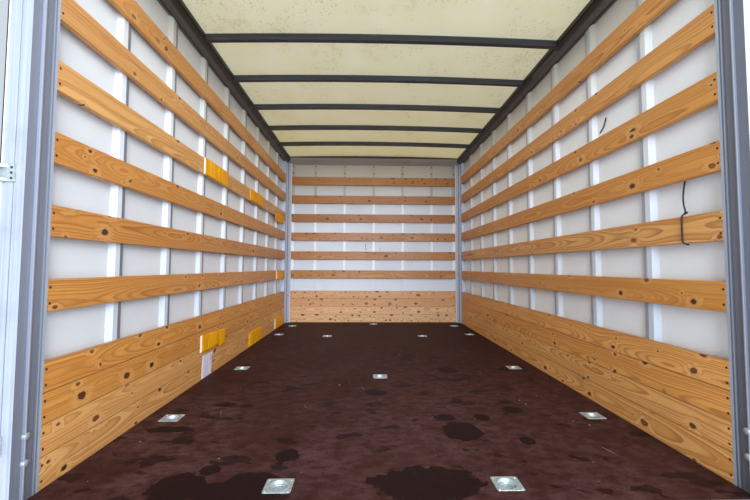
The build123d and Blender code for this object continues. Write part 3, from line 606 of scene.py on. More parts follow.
def floorMaterial(place, setting):
    # Brown film-faced plywood: pale scuffing, wet patches as ellipses with a ragged edge, scratches and grit.
    x, y, _ = place.parts()
    ragged = place.noise(16.0, 5.0, 0.66)
    wet = place.noise((6.0, 10.0, 1.0), 3.0, 0.5).ramp(0.610, 0.630) * 0.8
    for across, back, halfWidth, halfLength in setting["wetPlaces"]:
        reach = ((x - across) / halfWidth) ** 2.0 + ((y - rearFace - back) / halfLength) ** 2.0
        wet = wet.maths("MAXIMUM", (reach * 0.8 + (ragged - 0.5) * 2.0).ramp(1.06, 0.98))
    cloud = place.noise(2.6, 5.0, 0.6)
    mottle = place.noise((17.0, 26.0, 1.0), 6.0, 0.72)
    grain = place.noise(95.0, 4.0, 0.75)
    weave = place.noise((60.0, 190.0, 1.0), 3.0, 0.6)
    scratch = place.joined(x * 60.0 + y * 21.0, y * 2.0 - x * 1.3, 0.0).noise(detail=2.0)
    scratchOther = place.joined(x * 3.0, y * 75.0 + x * 26.0, 7.0).noise(detail=2.0)
    level = place.stretched(1.0, 1.0, 0.0)
    luck, size, _ = level.cells(15.0, "Color").parts()
    grit = (level.cells(15.0, "Distance") / (size ** 3.0 * 0.085 + 0.028)).ramp(1.0, 0.6)
    grit = grit * luck.ramp(0.60, 0.62)
    scuff = (cloud.ramp(0.30, 0.65, 0.6) + 0.4) * mottle.ramp(0.40, 0.66) * grain.ramp(0.25, 0.65)
    dust = (y.ramp(rearFace + 2.2, rearFace + 0.1) * 0.75 + x.ramp(0.1, -1.0, 0.25)) * cloud.ramp(0.30, 0.62)
    colour = layered(
        setting, "film",
        (scuff + weave.ramp(0.5, 0.8, 0.25), "scuffed"),
        (dust * (grain * 0.6 + 0.1) * (mottle.ramp(0.36, 0.62) + 0.25), "dusty"),
        (scratch.ramp(0.735, 0.76, 0.35), "grit"), (scratchOther.ramp(0.75, 0.77, 0.25), "grit"),
        (wet * 0.92, "wet"), (grit * 0.8, "grit"))
    height = grain * 0.5 + weave * 0.4 + grit - wet * 0.3
    return coat(place, colour, 0.56 + grain * 0.16 - wet * 0.04, height, 0.0006, {"Specular IOR Level": 0.12})


steelSettings = {
    "zinc": (0.52, 0.58, 0.60),
    "dullZinc": (0.28, 0.33, 0.34),
    "paint": (0.060, 0.063, 0.068),
    "roadDust": (0.20, 0.175, 0.145),
}


def zincMaterial(place, setting):
    # Galvanised steel: spangles are cells with a random brightness each, dulled by a cloudy film.
    spangle, _, _ = place.cells(140.0, "Color").parts()
    cloud = place.noise(24.0, 4.0, 0.6)
    colour = layered(setting, "zinc", (spangle * 0.55, "dullZinc"), (cloud.ramp(0.50, 0.80, 0.6), "dullZinc"))
    return coat(place, colour, spangle * 0.14 + cloud.ramp(0.4, 0.8, 0.2) + 0.40, spangle, 0.0003,
                {"Metallic": 0.7})


def chassisMaterial(place, setting):
    # Grey chassis paint under road dust that gathers in clouds.
    cloud = place.noise(5.0, 6.0, 0.65)
    fine = place.noise(180.0, 3.0, 0.6)
    colour = layered(setting, "paint", (cloud.ramp(0.40, 0.75, 0.75), "roadDust"))
    return coat(place, colour, cloud.ramp(0.3, 0.7, 0.3) + 0.42, fine * 0.6 + cloud * 0.4, 0.0006)


smallSettings = {
    "rubber": (0.022, 0.022, 0.024),
    "rubberDust": (0.085, 0.080, 0.075),
    "amber": (0.86, 0.27, 0.015),
    "amberDeep": (0.55, 0.12, 0.008),
}


def rubberMaterial(place, setting):
    # Black rubber with a bloom of dust.
    bloom = place.noise(16.0, 5.0, 0.65)
    fine = place.noise(260.0, 2.0)
    colour = layered(setting, "rubber", (bloom.ramp(0.48, 0.80, 0.6), "rubberDust"))
    return coat(place, colour, bloom * 0.2 + 0.55, fine, 0.0004)


def amberMaterial(place, setting):
    # Lamp lens with upright flutes: the sine of the place along the lamp.
    _, y, _ = place.parts()
    flute = (y * 900.0).maths("SINE") * 0.5 + 0.5
    colour = layered(setting, "amber", (flute * 0.6, "amberDeep"))
    return coat(place, colour, place.noise(30.0) * 0.2 + 0.12, flute, 0.0008, {"Coat Weight": 0.6})


def dressFrame():
    # Each node of the frame gets its finish.
    alongBody, upright, across = (180.0, 1.2, 180.0), (180.0, 180.0, 1.2), (1.2, 180.0, 180.0)
    battens = battenBase - battenPitch / 2, battenPitch
    boards = deckTop, (kickTop - deckTop) / 4
    # Node, run, base, pitch, seed, side, face, knots, share of cells without a knot, tone, painted light,
    # seam shade
    for node, *choices in (
        ("side_battens_left", "Y", *battens, 11.3, -1, battenFace, "sparse", 0.52, "varnished", 1.04, 0.0),
        ("side_battens_right", "Y", *battens, 47.9, 1, battenFace, "sparse", 0.48, "varnished", 1.06, 0.0),
        ("bulkhead_battens", "X", *battens, 83.1, 1, frontBattenFace, "dense", 0.30, "reddish", 0.80, 0.0),
        ("side_kickboard_left", "Y", *boards, 5.7, -1, battenFace, "sparse", 0.38, "varnished", 1.12, 0.36),
        ("side_kickboard_right", "Y", *boards, 62.5, 1, battenFace, "sparse", 0.42, "varnished", 1.26, 0.36),
        ("bulkhead_kickboard", "X", *boards, 29.2, 1, frontBattenFace, "dense", 0.25, "bare", 0.97, 0.14),
    ):
        dress(pineMaterial(newMaterial(node + "_pine"), pineSettings, *choices), node)
    # Heights about which the pilasters' painted shade turns, low down and high up
    sideTurns = (deckTop + 0.35, deckTop + 1.35), (roofEdge - 0.65, roofEdge - 0.05)
    sidePaintAndShade = "sideLow", "bright", "sideTop", *sideTurns
    frontTurns = ((middle - 0.02, middle + 0.02) for middle in (battenBase, battenBase + 4 * battenPitch))
    frontPaintAndShade = "stripLow", "stripWhite", "stripTop", *frontTurns
    # Kind, settings, nodes, and what else the kind asks for
    for kind, setting, nodes, *choices in (
        # Panels: their white, then the colour, depth and share of painted shade under the roof
        (panelMaterial, panelSettings, ("side_wall_left", *bothSides("door")), "white", "warm", 0.60, 0.60),
        # the right wall's brighter white is painted light
        (panelMaterial, panelSettings, ("side_wall_right",), "clean", "beige", 0.55, 0.75),
        (panelMaterial, panelSettings, ("bulkhead",), "shaded", "tan", 0.75, 0.85),
        (stripMaterial, panelSettings, bothSides("side_pilasters"), *sidePaintAndShade),
        (stripMaterial, panelSettings, ("bulkhead_pilasters",), *frontPaintAndShade),
        # The last number of each post and joint strip is painted light: each wall's copy is lighter or darker
        # as light falls on it.
        (postMaterial, aluminiumSettings, ("rear_post_left",), upright, 1.35),
        (postMaterial, aluminiumSettings, ("rear_post_right",), upright, 0.96),
        (cornerMaterial, aluminiumSettings, bothSides("corner_post"), upright),
        (aluminiumMaterial, aluminiumSettings, ("joint_strips_left",), upright, 0.60),
        (aluminiumMaterial, aluminiumSettings, ("joint_strips_right",), upright, 1.10),
        (aluminiumMaterial, aluminiumSettings, bothSides("side_rail"), alongBody),
        (aluminiumMaterial, aluminiumSettings, ("rear_header", "rear_sill", "front_bottom_rail"), across),
        (coveMaterial, railSettings, ("front_header",)),
        (railMaterial, railSettings, bothSides("cant_rail")),
        (bowMaterial, railSettings, ("roof_bows",)),
        (roofMaterial, roofSettings, ("roof_skin",)),
        (floorMaterial, floorSettings, ("floor_deck",)),
        (chassisMaterial, steelSettings, (*bothSides("chassis_bearer"), "cross_members", "mounting_plates")),
        (rubberMaterial, smallSettings, bothSides("door_seal")),
        (amberMaterial, smallSettings, ("marker_lamps",)),
    ):
        dress(kind(newMaterial(nodes[0] + "_finish"), setting, *choices), *nodes)
    zinc = zincMaterial(newMaterial("zinc"), steelSettings)
    dress(zinc, "lashing_cups", "lashing_rings", "cam_keepers")
    for pair in ("lock_bar", "lock_guides", "hinge_brackets", "hinge_straps"):
        dress(zinc, *bothSides(pair))
    print("frame dressed")
    return zinc


# Making meshes

def putMesh(name, parts, material, slotName, body="body", sharp=35.0):
    # Pairs of points and faces become one smooth mesh, its faces turned outwards. Edges stay sharp where the
    # faces turn by more than this angle in degrees.
    points, faces = [], []
    for partPoints, partFaces in parts:
        faces += [[len(points) + corner for corner in face] for face in partFaces]
        points += partPoints.tolist()
    mesh = bpy.data.meshes.new(name)
    mesh.from_pydata(points, [], faces)
    shell = bmesh.new()
    shell.from_mesh(mesh)
    bmesh.ops.recalc_face_normals(shell, faces=shell.faces)
    shell.to_mesh(mesh)
    shell.free()
    mesh.materials.append(material)
    mesh.shade_smooth()
    if sharp:
        mesh.set_sharp_from_angle(angle=math.radians(sharp))
    piece = bpy.data.objects.new(name, mesh)
    bpy.context.scene.collection.objects.link(piece)
    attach(piece, body)
    return piece


def turnSteps(count):
    # Even angles round a circle.
    return np.arange(count) * 2 * math.pi / count


def signedPower(values, power):
    # The power of each value's size, with the value's sign kept.
    return np.sign(values) * np.abs(values) ** power


def ringQuads(index):
    # Four-sided faces between neighbouring rings of point numbers. The last axis runs round each ring.
    ahead = np.roll(index, -1, axis=-1)
    corners = index[..., :-1, :], ahead[..., :-1, :], ahead[..., 1:, :], index[..., 1:, :]
    return np.stack(corners, -1).reshape(-1, 4).tolist()


def loft(rings):
    # A tube through rings of points, with a flat face on each end ring.
    rings = np.asarray(rings)
    index = np.arange(rings.shape[0] * rings.shape[1]).reshape(rings.shape[:2])
    return rings.reshape(-1, 3), ringQuads(index) + [index[0, ::-1].tolist(), index[-1].tolist()]


def spinHeads(centres, axis, profile, around=8):
    # A head is a profile of (radius, height) pairs turned about the axis, with a flat face on each end ring:
    # centre + height * axis + radius * (cosine * side + sine * over)
    axis = np.asarray(axis, float)
    side = np.cross(axis, (0.0, 0.0, 1.0) if abs(axis[2]) < 0.9 else (1.0, 0.0, 0.0))
    side /= np.linalg.norm(side)
    turn = turnSteps(around)
    circle = np.outer(np.cos(turn), side) + np.outer(np.sin(turn), np.cross(axis, side))
    radius, height = np.asarray(profile).T
    rings = radius[:, None, None] * circle + height[:, None, None] * axis
    points = np.asarray(centres, float)[:, None, None, :] + rings
    index = np.arange(points.size // 3).reshape(points.shape[:3])
    return points.reshape(-1, 3), ringQuads(index) + index[:, 0, ::-1].tolist() + index[:, -1].tolist()


def sideHeads(pairs, face, profile, out, around=8):
    # Heads at these places along and up, on this face of both sides, out of the body or with -1 into it.
    return [spinHeads(np.insert(pairs, 0, side * face, axis=1), (side * out, 0, 0), profile, around)
            for side in (-1, 1)]


def frontHeads(pairs, face, profile):
    # Heads at these places across and up, on a face that looks to the rear.
    return spinHeads(np.insert(pairs, 1, face, axis=1), (0, -1, 0), profile)


def tubeAlong(route, radius, around=10, rounds=3):
    # A round bar along a route whose corners are cut a few times: each run gives the points one quarter and
    # three quarters of the way along it. The rings are circles in side and over.
    route = np.asarray(route, float)
    for _ in range(rounds):
        run = np.diff(route, axis=0)
        inner = np.stack((route[:-1] + run * 0.25, route[:-1] + run * 0.75), 1).reshape(-1, 3)
        route = np.concatenate((route[:1], inner, route[-1:]))
    ahead = np.gradient(route, axis=0)
    ahead /= np.linalg.norm(ahead, axis=1)[:, None]
    side = np.cross(ahead, (0.02, 1.0, 0.0))
    side /= np.linalg.norm(side, axis=1)[:, None]
    over = np.cross(ahead, side)
    turn = turnSteps(around)[:, None]
    return loft(route[:, None] + radius * (np.cos(turn) * side[:, None] + np.sin(turn) * over[:, None]))


def solidBoxes(nodeName):
    # The box of each separate solid of a node. Every triangle gives its corners, where those in one place are
    # one, the least label among them until nothing changes.
    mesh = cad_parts[nodeName].data
    places = np.empty(len(mesh.vertices) * 3)
    mesh.vertices.foreach_get("co", places)
    triangles = np.empty(len(mesh.loops), np.int32)
    mesh.loops.foreach_get("vertex_index", triangles)
    corners, same = np.unique(places.reshape(-1, 3).round(5), axis=0, return_inverse=True)
    triangles = same.reshape(-1)[triangles]
    label, last = np.arange(len(corners)), None
    while not np.array_equal(label, last):
        last = label.copy()
        least = label[triangles].reshape(-1, 3).min(axis=1)
        np.minimum.at(label, triangles, least.repeat(3))
    solids = [corners[label == one] for one in np.unique(label)]
    return [(solid.min(axis=0), solid.max(axis=0)) for solid in solids]


def middles(nodeName):
    # The middle of each separate solid of a node.
    return np.array([(low + high) / 2 for low, high in solidBoxes(nodeName)])


# Soft pads on the left wall

padSettings = {
    "gold": (0.96, 0.440, 0.002),
    "deep": (0.66, 0.235, 0.001),
    "shine": (1.00, 0.62, 0.008),
    "tear": (0.20, 0.035, 0.004),
    "trim": (0.88, 0.80, 0.80),
    "paleEdges": (0, 1, 5, 6),   # the pads with a pale near edge, counted from the rear
    "around": 44,                # points round the loop
    "along": 90,                 # loops
    "roundness": 0.30,           # the nearer to 0, the squarer the loop
    "creases": 6,
    "creaseDepth": 0.42,         # share of the thickness
    "curl": 0.55,                # how far the far end lifts, as a share of the thickness
    "curlStart": 0.82,           # share of the length
    "wallGap": 0.0002,
    "trimWidth": 0.016,          # pale edge at the rear end
    "tornPlace": 0.60,           # share of the torn pad's length, where its far end hangs lower
    "tornWidth": 0.03,
    "tornDrop": 0.017,
    "fill": 0.6,
}


def padMaterial(place, setting):
    # Yellow coated cloth: streaks run up the pad, with painted shade in the creases and painted highlights in
    # clouds, a fine weave and a pale edge.
    edge, crease = (place.node("ShaderNodeAttribute", {"attribute_name": kept}, out="Fac")
                    for kept in ("edge", "crease"))
    x, y, z = place.parts()
    streak = place.joined(x, y * 46.0, z * 3.0).noise(1.0, 4.0, 0.6)
    cloud = place.noise(14.0, 4.0)
    weave = ((y * 2600.0).maths("SINE") + (z * 2600.0).maths("SINE")) * 0.25 + 0.5
    colour = layered(
        setting, "gold",
        # painted shade in the creases
        (streak.ramp(0.40, 0.70) * 0.8, "deep"), (crease * 0.75, "deep"),
        # painted highlights
        (cloud.ramp(0.55, 0.72) * 0.5, "shine"),
        (edge.ramp(0.5, 1.0), "trim"), (edge.ramp(-0.5, -1.0), "tear"))
    return coat(place, colour, cloud * 0.2 + 0.42, weave * 0.5 + streak * 0.5, 0.0006,
                {"Specular IOR Level": 0.25})


def makePads(setting):
    # Each pad is a closed cushion: a loop, whose height and thickness are powers of the cosine and the sine,
    # is carried along the wall. Its thickness swells between the ends by (1 - s^6)^0.4 and falls in each
    # crease by a bell curve. The far end curls away from the wall, and the torn pad drops behind its tear.
    material = padMaterial(newMaterial("pad_cloth"), setting)
    draws = np.random.default_rng(31)
    turn = turnSteps(setting["around"])
    tall, thick = (signedPower(part, setting["roundness"]) for part in (np.cos(turn), np.sin(turn)))
    front = np.clip(thick, 0, 1)
    share = (1 - np.cos(np.linspace(0, math.pi, setting["along"]))) / 2
    swell = (1 - np.abs(2 * share - 1) ** 6) ** 0.4 * 0.80 + 0.04
    lift = np.clip((share[:, None] - setting["curlStart"]) / (1 - setting["curlStart"]), 0, 1) ** 2
    for number, (low, high) in enumerate(solidBoxes("wall_pads")):
        size = high - low
        places = np.sort(draws.uniform(0.10, 0.95, setting["creases"]))
        widths, leans, depths = (draws.uniform(*ends, setting["creases"])
                                 for ends in ((0.008, 0.030), (-0.05, 0.05), (0.35, 1.0)))
        bells = np.exp(-((share[:, None, None] - places - leans * tall[:, None]) / widths) ** 2) * depths
        crease = np.clip(bells.sum(axis=2), 0, 1) * front
        out = swell[:, None] * (thick + 1) / 2 * (1 - setting["creaseDepth"] * crease)
        out += setting["curl"] * lift * (0.4 + 0.6 * tall ** 2) * 0.4
        ripple = 0.012 * np.sin(share * 17.0 + number) + 0.006 * np.sin(share * 41.0 + 2 * number)
        half = size[2] / 2 * (0.985 - 0.03 * (1 - swell / 0.84)) * (1 + ripple) / 1.02
        rings = np.empty((len(share), len(turn), 3))
        rings[..., 0] = low[0] + setting["wallGap"] + out * size[0]
        rings[..., 1] = low[1] + size[1] * share[:, None]
        rings[..., 2] = (low[2] + high[2]) / 2 + half[:, None] * tall
        edge = np.zeros(crease.shape)
        edge[share < setting["trimWidth"]] = number in setting["paleEdges"]
        if low[1] < tornEnd and low[2] < kickTop:
            whole = np.clip((setting["tornPlace"] - share) / setting["tornWidth"] + 1, 0, 1)[:, None]
            drop = whole * np.clip(-tall, 0, 1) - share[:, None] * np.clip(tall, 0, 1)
            rings[..., 2] += setting["tornDrop"] * drop
            edge -= (np.abs(share - setting["tornPlace"]) < 0.02)[:, None] * (tall < -0.7)
        piece = putMesh(f"soft_pad_{number + 1}", [loft(rings)], material, "pad_yellow", sharp=None)
        for attribute, values in (("edge", edge), ("crease", crease)):
            piece.data.attributes.new(attribute, "FLOAT", "POINT").data.foreach_set("value", values.ravel())
        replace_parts(piece, "wall_pads")
    print("soft pads made")


# Fasteners

headSettings = {        # profiles of radius and height, from the seat to the top
    "screw": ((0.0046, 0.0), (0.0046, 0.0007), (0.0030, 0.0016), (0.0011, 0.0018)),
    "rivet": ((0.0048, 0.0), (0.0046, 0.0010), (0.0034, 0.0022), (0.0014, 0.0028)),
    "dome": ((0.0115, 0.0), (0.0115, 0.0085), (0.0104, 0.0108), (0.0072, 0.0126), (0.0025, 0.0134)),
    "button": ((0.0090, 0.0), (0.0088, 0.0016), (0.0064, 0.0036), (0.0026, 0.0046)),
    "hexBolt": ((0.0075, 0.0), (0.0075, 0.0045), (0.0062, 0.0054)),
    "washer": ((0.0100, 0.0), (0.0100, 0.0012), (0.0078, 0.0014)),
    "darkSteel": (0.045, 0.036, 0.030),
    "rust": (0.11, 0.050, 0.022),
    "endGap": 0.010,            # board end to its screws
    "screwRise": 0.028,         # from the middle of a batten up and down to its screws
    "kickScrews": 8,            # in a row up the kickboard
    "cupRivets": (0.0390, 0.0325, 0.0013),      # across, along and up from the middle of a cup
    "rivetPitch": 0.200,
    "wallPitch": 0.250,
    "flangeGap": 0.015,         # edge of a flange or post to its rivets
    "rowGap": 0.05,             # post to the first rivet of a long row
    "columnGap": 0.10,          # flange to the first rivet of an upright row
    "postColumn": 0.080,        # from the rear face
    "skirt": 0.100,             # height of the rail's skirt under the roof
    "pilasterButton": 2.185,    # above the floor
    "frontButtons": (2.077, 2.173),
    "domePlaces": (0.125, 0.210),
    "domeBack": 0.043,          # from the rear face
    "hingeScrews": (-0.0175, 0.0, 0.0175),
    "hingeScrewIn": 0.0095,     # inner edge of the hinge plate to its screws
    "plate": 0.006,             # thickness of the hinge plates and straps
    "pivotBack": 0.030,         # rear face back to the hinge line
    "strapBolts": (0.155, 0.210, 0.265),    # hinge line to the bolts of a strap
    "cornerScrews": (0.030, 0.370),         # above the floor, besides those at the battens
    "slantMiddle": 0.1005,      # front face back to the middle of a corner post's slanted face
}


def darkSteelMaterial(place, setting):
    # Browned steel: dark, with rust where a fine noise is high.
    grain = place.noise(600.0, 3.0, 0.6)
    colour = layered(setting, "darkSteel", (grain.ramp(0.45, 0.70, 0.7), "rust"))
    return coat(place, colour, grain * 0.3 + 0.35, grain, 0.0002, {"Metallic": 0.6})


def crossed(first, second):
    # Every pair of a place from the first row and a place from the second.
    return np.array([(one, two) for one in first for two in second])


def evenRow(start, end, pitch):
    # Places from start to end, as near to the pitch as they divide.
    return np.linspace(start, end, round((end - start) / pitch) + 1)


def makeFasteners(setting):
    # Screws stand at the boards' ends and on the corner posts, rivets in the cups' corners.
    dark = darkSteelMaterial(newMaterial("dark_steel"), setting), "underframe_steel"
    bright = zincMaterial(newMaterial("bright_zinc"), steelSettings), "galvanised"
    battenRow = middles("side_battens_right")[:, 2]
    rise = setting["screwRise"]
    screwRow = [middle + offset for middle in battenRow for offset in (-rise, rise)]
    kickPitch = (kickTop - deckTop) / setting["kickScrews"]
    screwRow += [deckTop + (number + 0.5) * kickPitch for number in range(setting["kickScrews"])]
    sidePlaces = crossed((postFront + setting["endGap"], cornerEnd - setting["endGap"]), screwRow)
    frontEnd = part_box("bulkhead_battens")[1].x - setting["endGap"]
    screws = sideHeads(sidePlaces, battenFace, setting["screw"], -1)
    screws.append(frontHeads(crossed((-frontEnd, frontEnd), screwRow), frontBattenFace, setting["screw"]))
    putMesh("board_screws", screws, *dark)
    across, along, up = setting["cupRivets"]
    corners = [(x + right * across, y + ahead * along, z + up)
               for x, y, z in cupPlaces() for right in (-1, 1) for ahead in (-1, 1)]
    putMesh("cup_rivets", [spinHeads(corners, (0, 0, 1), setting["rivet"])], *bright)
    cornerRow = *battenRow, *(deckTop + height for height in setting["cornerScrews"])
    across, along = (battenFace + bulkheadEnd) / 2, frontFace - setting["slantMiddle"]
    slanted = [spinHeads([(side * across, along, height) for height in cornerRow],
                         np.array((-side, -1, 0)) / math.sqrt(2), setting["screw"]) for side in (-1, 1)]
    putMesh("corner_screws", slanted, *dark)
    makeRivets(setting, dark, bright)
    makeHingeBolts(setting, dark, bright)
    print("fasteners made")


def makeRivets(setting, dark, bright):
    # Rivets on the flanges of the rails and posts and through the wall sheets, and buttons on the pilasters.
    gap, rowGap, columnGap = setting["flangeGap"], setting["rowGap"], setting["columnGap"]
    flange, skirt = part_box("side_rail_right")[1].z - gap, roofEdge - setting["skirt"] + gap
    length = evenRow(postFront + rowGap, cornerEnd - rowGap, setting["rivetPitch"])
    heights, wallHeights = (evenRow(flange + columnGap, skirt - columnGap, setting[pitch])
                            for pitch in ("rivetPitch", "wallPitch"))
    pilasterRow = [high[1] - pilasterWidth / 2 for _, high in solidBoxes("side_pilasters_right")]
    rows = ((crossed(length, (flange, skirt)), sideFace),
            (crossed((rearFace + setting["postColumn"], cornerEnd + gap), heights), sideFace),
            (crossed(pilasterRow, wallHeights), wallOuter))
    heads = [head for pairs, face in rows for head in sideHeads(pairs, face, setting["rivet"], 1, 6)]
    putMesh("outer_rivets", heads, *bright)
    buttons = crossed(pilasterRow, [deckTop + setting["pilasterButton"]])
    putMesh("pilaster_buttons", sideHeads(buttons, pilasterFace, setting["button"], -1), *bright)
    frontRow = middles("bulkhead_pilasters")[:, 0]
    buttons = crossed(frontRow, [deckTop + height for height in setting["frontButtons"]])
    putMesh("bulkhead_buttons", [frontHeads(buttons, frontPilasterFace, setting["button"])], *dark)


def makeHingeBolts(setting, dark, bright):
    # Screws in the hinge plates, domed stops behind the lip, and hexagon bolts with washers in the straps.
    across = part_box("hinge_brackets_right")[0].x + setting["hingeScrewIn"]
    heights = [middle + offset for middle in middles("hinge_brackets_right")[:, 2]
               for offset in setting["hingeScrews"]]
    screws = frontHeads(crossed((-across, across), heights), rearFace - setting["plate"], setting["screw"])
    putMesh("hinge_plate_screws", [screws], *dark)
    stops = crossed([rearFace + setting["domeBack"]], [deckTop + height for height in setting["domePlaces"]])
    putMesh("post_domes", sideHeads(stops, battenFace, setting["dome"], -1, 16), *bright)
    for side, name in ((-1, "left"), (1, "right")):
        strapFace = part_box("door_" + name)[0 if side > 0 else 1].x - side * setting["plate"]
        seats = [(strapFace, rearFace - setting["pivotBack"] + along, middle)
                 for middle in middles("hinge_straps_" + name)[:, 2] for along in setting["strapBolts"]]
        heads = [spinHeads(seats, (-side, 0, 0), setting[part], around)
                 for part, around in (("washer", 16), ("hexBolt", 6))]
        putMesh("strap_bolts_" + name, heads, *bright, name + "_door")


# Lashing cups and rings

cupSettings = {
    "halfAcross": 0.0485,
    "halfAlong": 0.0415,
    "cornerPower": 0.10,         # the nearer to 0, the squarer the plate
    "around": 48,
    "profile": (                 # shape (0 plate, 1 dish), inset from the plate's edge or radius, height
        (1, 0.0220, -0.0180), (1, 0.0330, -0.0165), (1, 0.0330, 0.0003),
        (0, 0.0000, 0.0003), (0, 0.0000, 0.0012), (0, 0.0009, 0.0020), (0, 0.0050, 0.0020),
        (0, 0.0062, 0.0014), (1, 0.0345, 0.0014), (1, 0.0338, 0.0019), (1, 0.0322, 0.0017),
        (1, 0.0310, 0.0000), (1, 0.0303, -0.0135), (1, 0.0280, -0.0158), (1, 0.0100, -0.0158),
    ),
    "ringRadius": 0.0252,
    "ringBar": 0.0037,
    "ringHeight": -0.0119,
    "ringSteps": (40, 12),       # points round the ring and round its bar
}


def cupPlaces():
    # The middle of each cup on the floor's surface.
    return [(x, y, deckTop) for x, y, _ in middles("lashing_cups")]


def makeCups(setting, material):
    # Each cup is one closed skin. A plate loop is x = a * cos^p, y = b * sin^p with the signs kept, and a
    # dish loop is a circle.
    turn = turnSteps(setting["around"])
    circle = np.column_stack((np.cos(turn), np.sin(turn)))
    square = signedPower(circle, setting["cornerPower"])
    half = np.array((setting["halfAcross"], setting["halfAlong"]))
    rings = [np.insert(circle * size if dish else square * (half - size), 2, height, axis=1)
             for dish, size, height in setting["profile"]]
    points, faces = loft(rings)
    cups = [(points + centre, faces) for centre in cupPlaces()]
    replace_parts(putMesh("pressed_cups", cups, material, "galvanised", sharp=50.0), "lashing_cups")


def makeRings(setting, material):
    # A ring is centre + ((R + r cos v) cos u, (R + r cos v) sin u, r sin v), closed both ways round.
    u, v = np.meshgrid(*(turnSteps(steps) for steps in setting["ringSteps"]), indexing="ij")
    bar = setting["ringBar"]
    reach = setting["ringRadius"] + bar * np.cos(v)
    points = np.stack((reach * np.cos(u), reach * np.sin(u), setting["ringHeight"] + bar * np.sin(v)), -1)
    index = np.arange(u.size).reshape(u.shape)
    quads = ringQuads(np.concatenate((index, index[:1])))
    rings = [(points.reshape(-1, 3) + centre, quads) for centre in cupPlaces()]
    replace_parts(putMesh("round_rings", rings, material, "galvanised"), "lashing_rings")
    print("lashing cups and rings made")


# Small pieces on the walls

trimSettings = {
    "beadRadius": 0.0028,
    "beadDrop": 0.0025,          # below the underside of the cant rail
    "cardPlace": (1.297, 1.440),     # from the rear face
    "cardHeight": (0.005, 0.158),    # above the floor
    "cardLean": (0.0008, 0.005, 0.004),     # from the wall at its foot, more at its top, and by its curl
    "cardThickness": 0.0012,
    "card": (0.84, 0.79, 0.92),
    "cardShade": (0.52, 0.50, 0.62),
    "cardEdge": (1.0, 0.96, 1.0),
    "coverPlace": (1.14, 1.49),      # plate on the right cant rail, from the rear face
    "coverShare": (0.22, 0.50),      # of the rail's slanted face, from the roof
    "coverThickness": 0.002,
    "railStart": 0.024,              # roof's edge down to where that face starts
    "cover": {
        "black": (0.10, 0.095, 0.095),
        "brown": (0.115, 0.105, 0.105),
        "worn": (0.075, 0.068, 0.068),
        "paleBrown": (0.060, 0.052, 0.050),
        "dust": (0.20, 0.185, 0.180),
        "outer": (0.060, 0.052, 0.050),
        "outerDull": (0.060, 0.052, 0.050),
    },
    "tie": (0.012, 0.012, 0.014),
    "tieWorn": (0.022, 0.022, 0.026),
    "tieRadius": 0.0031,
    "tieRoutes": (      # thickness, and points: out from the right batten face, from the rear face, up
        (1.0, ((0.030, 0.285, 1.165), (0.031, 0.284, 1.128), (0.018, 0.281, 1.078), (0.008, 0.272, 1.028),
               (0.005, 0.259, 0.993), (0.001, 0.254, 0.981), (-0.003, 0.264, 0.980), (-0.005, 0.268, 0.970),
               (-0.005, 0.268, 0.885), (-0.0045, 0.267, 0.866), (0.006, 0.264, 0.858),
               (0.017, 0.261, 0.857))),
        (1.25, ((0.006, 0.263, 0.988), (0.001, 0.256, 0.984), (0.002, 0.247, 0.987))),
        (1.05, ((0.0380, 0.772, 1.602), (0.0380, 0.783, 1.576), (0.0384, 0.797, 1.553),
                (0.0394, 0.828, 1.535))),
    ),
}


def cardMaterial(place, setting):
    # Pale lilac card with soft grey stains and a white rear edge.
    _, y, _ = place.parts()
    stain = place.noise((1.0, 46.0, 14.0), 5.0, 0.65)
    edge = rearFace + setting["cardPlace"][0]
    colour = layered(setting, "card", (stain.ramp(0.42, 0.66, 0.8), "cardShade"),
                     (y.ramp(edge + 0.022, edge + 0.016), "cardEdge"))
    return coat(place, colour, stain * 0.2 + 0.5, stain, 0.0003)


def tieMaterial(place, setting):
    # Black plastic cord with fine ribs: the sine of the height.
    _, _, z = place.parts()
    cloud = place.noise(60.0)
    colour = layered(setting, "tie", (cloud.ramp(0.4, 0.8, 0.5), "tieWorn"))
    return coat(place, colour, cloud * 0.2 + 0.45, (z * 2400.0).maths("SINE") * 0.5 + 0.5, 0.0003)


def makeCard(setting):
    # A thin sheet that leans out by the square of its height, and curls by the square of its length.
    share, up = np.linspace(0, 1, 20)[:, None], np.linspace(0, 1, 12)
    foot, top, curl = setting["cardLean"]
    lean = foot + top * up ** 2 + curl * (share - 0.2) ** 2
    (start, end), (low, high) = setting["cardPlace"], setting["cardHeight"]
    rings = np.empty((len(share), 2 * len(up), 3))
    rings[..., 0] = np.concatenate((lean, lean[:, ::-1] + setting["cardThickness"]), axis=1) - battenFace
    rings[..., 1] = rearFace + start + (end - start) * share
    rings[..., 2] = deckTop + low + (high - low) * np.concatenate((up, up[::-1]))
    putMesh("wall_card", [loft(rings)], cardMaterial(newMaterial("lilac_card"), setting), "pad_yellow")


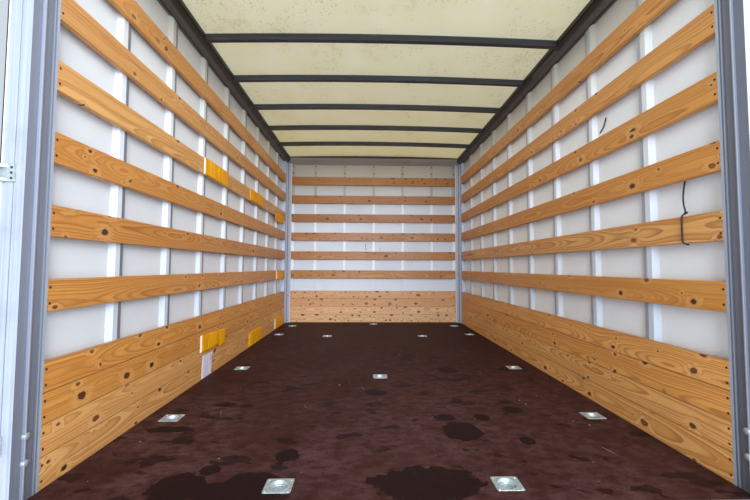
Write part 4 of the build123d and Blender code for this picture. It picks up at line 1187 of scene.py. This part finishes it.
def makeTrim(setting, dark):
    # Beads are straight bars. The cover is a plate on the slanted face of the right cant rail.
    height = railBottom - setting["beadDrop"]
    turn = turnSteps(8)
    circle = np.column_stack((np.cos(turn), np.zeros(len(turn)), np.sin(turn))) * setting["beadRadius"]
    beads = [loft([circle + (side * pilasterFace, end, height) for end in (postFront, cornerEnd)])
             for side in (-1, 1)]
    putMesh("rail_beads", beads, dark, "profile_grey")
    makeCard(setting)
    inner = np.array((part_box("cant_rail_right")[0].x, roofEdge - setting["railStart"]))
    run = (pilasterFace, railBottom) - inner
    away = np.array((run[1], -run[0])) / np.hypot(*run) * setting["coverThickness"] * np.sign(run[0])
    low, high = (inner + run * share for share in setting["coverShare"])
    outline = low, high, high + away, low + away
    ends = [[(x, rearFace + place, z) for x, z in outline] for place in setting["coverPlace"]]
    paint = railMaterial(newMaterial("cover_paint"), setting["cover"])
    putMesh("rail_cover", [loft(ends)], paint, "profile_grey")
    ties = [tubeAlong(np.array((battenFace, rearFace, deckTop)) + route, setting["tieRadius"] * size)
            for size, route in setting["tieRoutes"]]
    putMesh("black_tie", ties, tieMaterial(newMaterial("tie_plastic"), setting), "seal_rubber")
    print("small trim made")


stageSettings = {"grey": (0.74, 0.74, 0.73), "pale": (0.78, 0.78, 0.77), "half": 14.0}


def makeStage(setting):
    # A pale floor, a flat square under the object with a soft mottle.
    place = newMaterial("studio_floor")
    colour = layered(setting, "grey", (place.noise(1.2, 4.0).ramp(0.3, 0.7), "pale"))
    half = setting["half"]
    mesh = bpy.data.meshes.new("studio_floor")
    mesh.from_pydata([(-half, -half, 0.0), (half, -half, 0.0), (half, half, 0.0), (-half, half, 0.0)], [],
                     [(0, 1, 2, 3)])
    mesh.materials.append(coat(place, colour, 0.7))
    floor = bpy.data.objects.new("studio_floor", mesh)
    bpy.context.scene.collection.objects.link(floor)


makeCamera(cameraSettings)
makeLights(lightSettings)
makeStage(stageSettings)
zincFinish = dressFrame()
makePads(padSettings)
makeFasteners(headSettings)
makeCups(cupSettings, zincFinish)
makeRings(cupSettings, zincFinish)
makeTrim(trimSettings, darkSteelMaterial(newMaterial("bead_steel"), headSettings))

bpy.context.scene.view_settings.view_transform = "Standard"
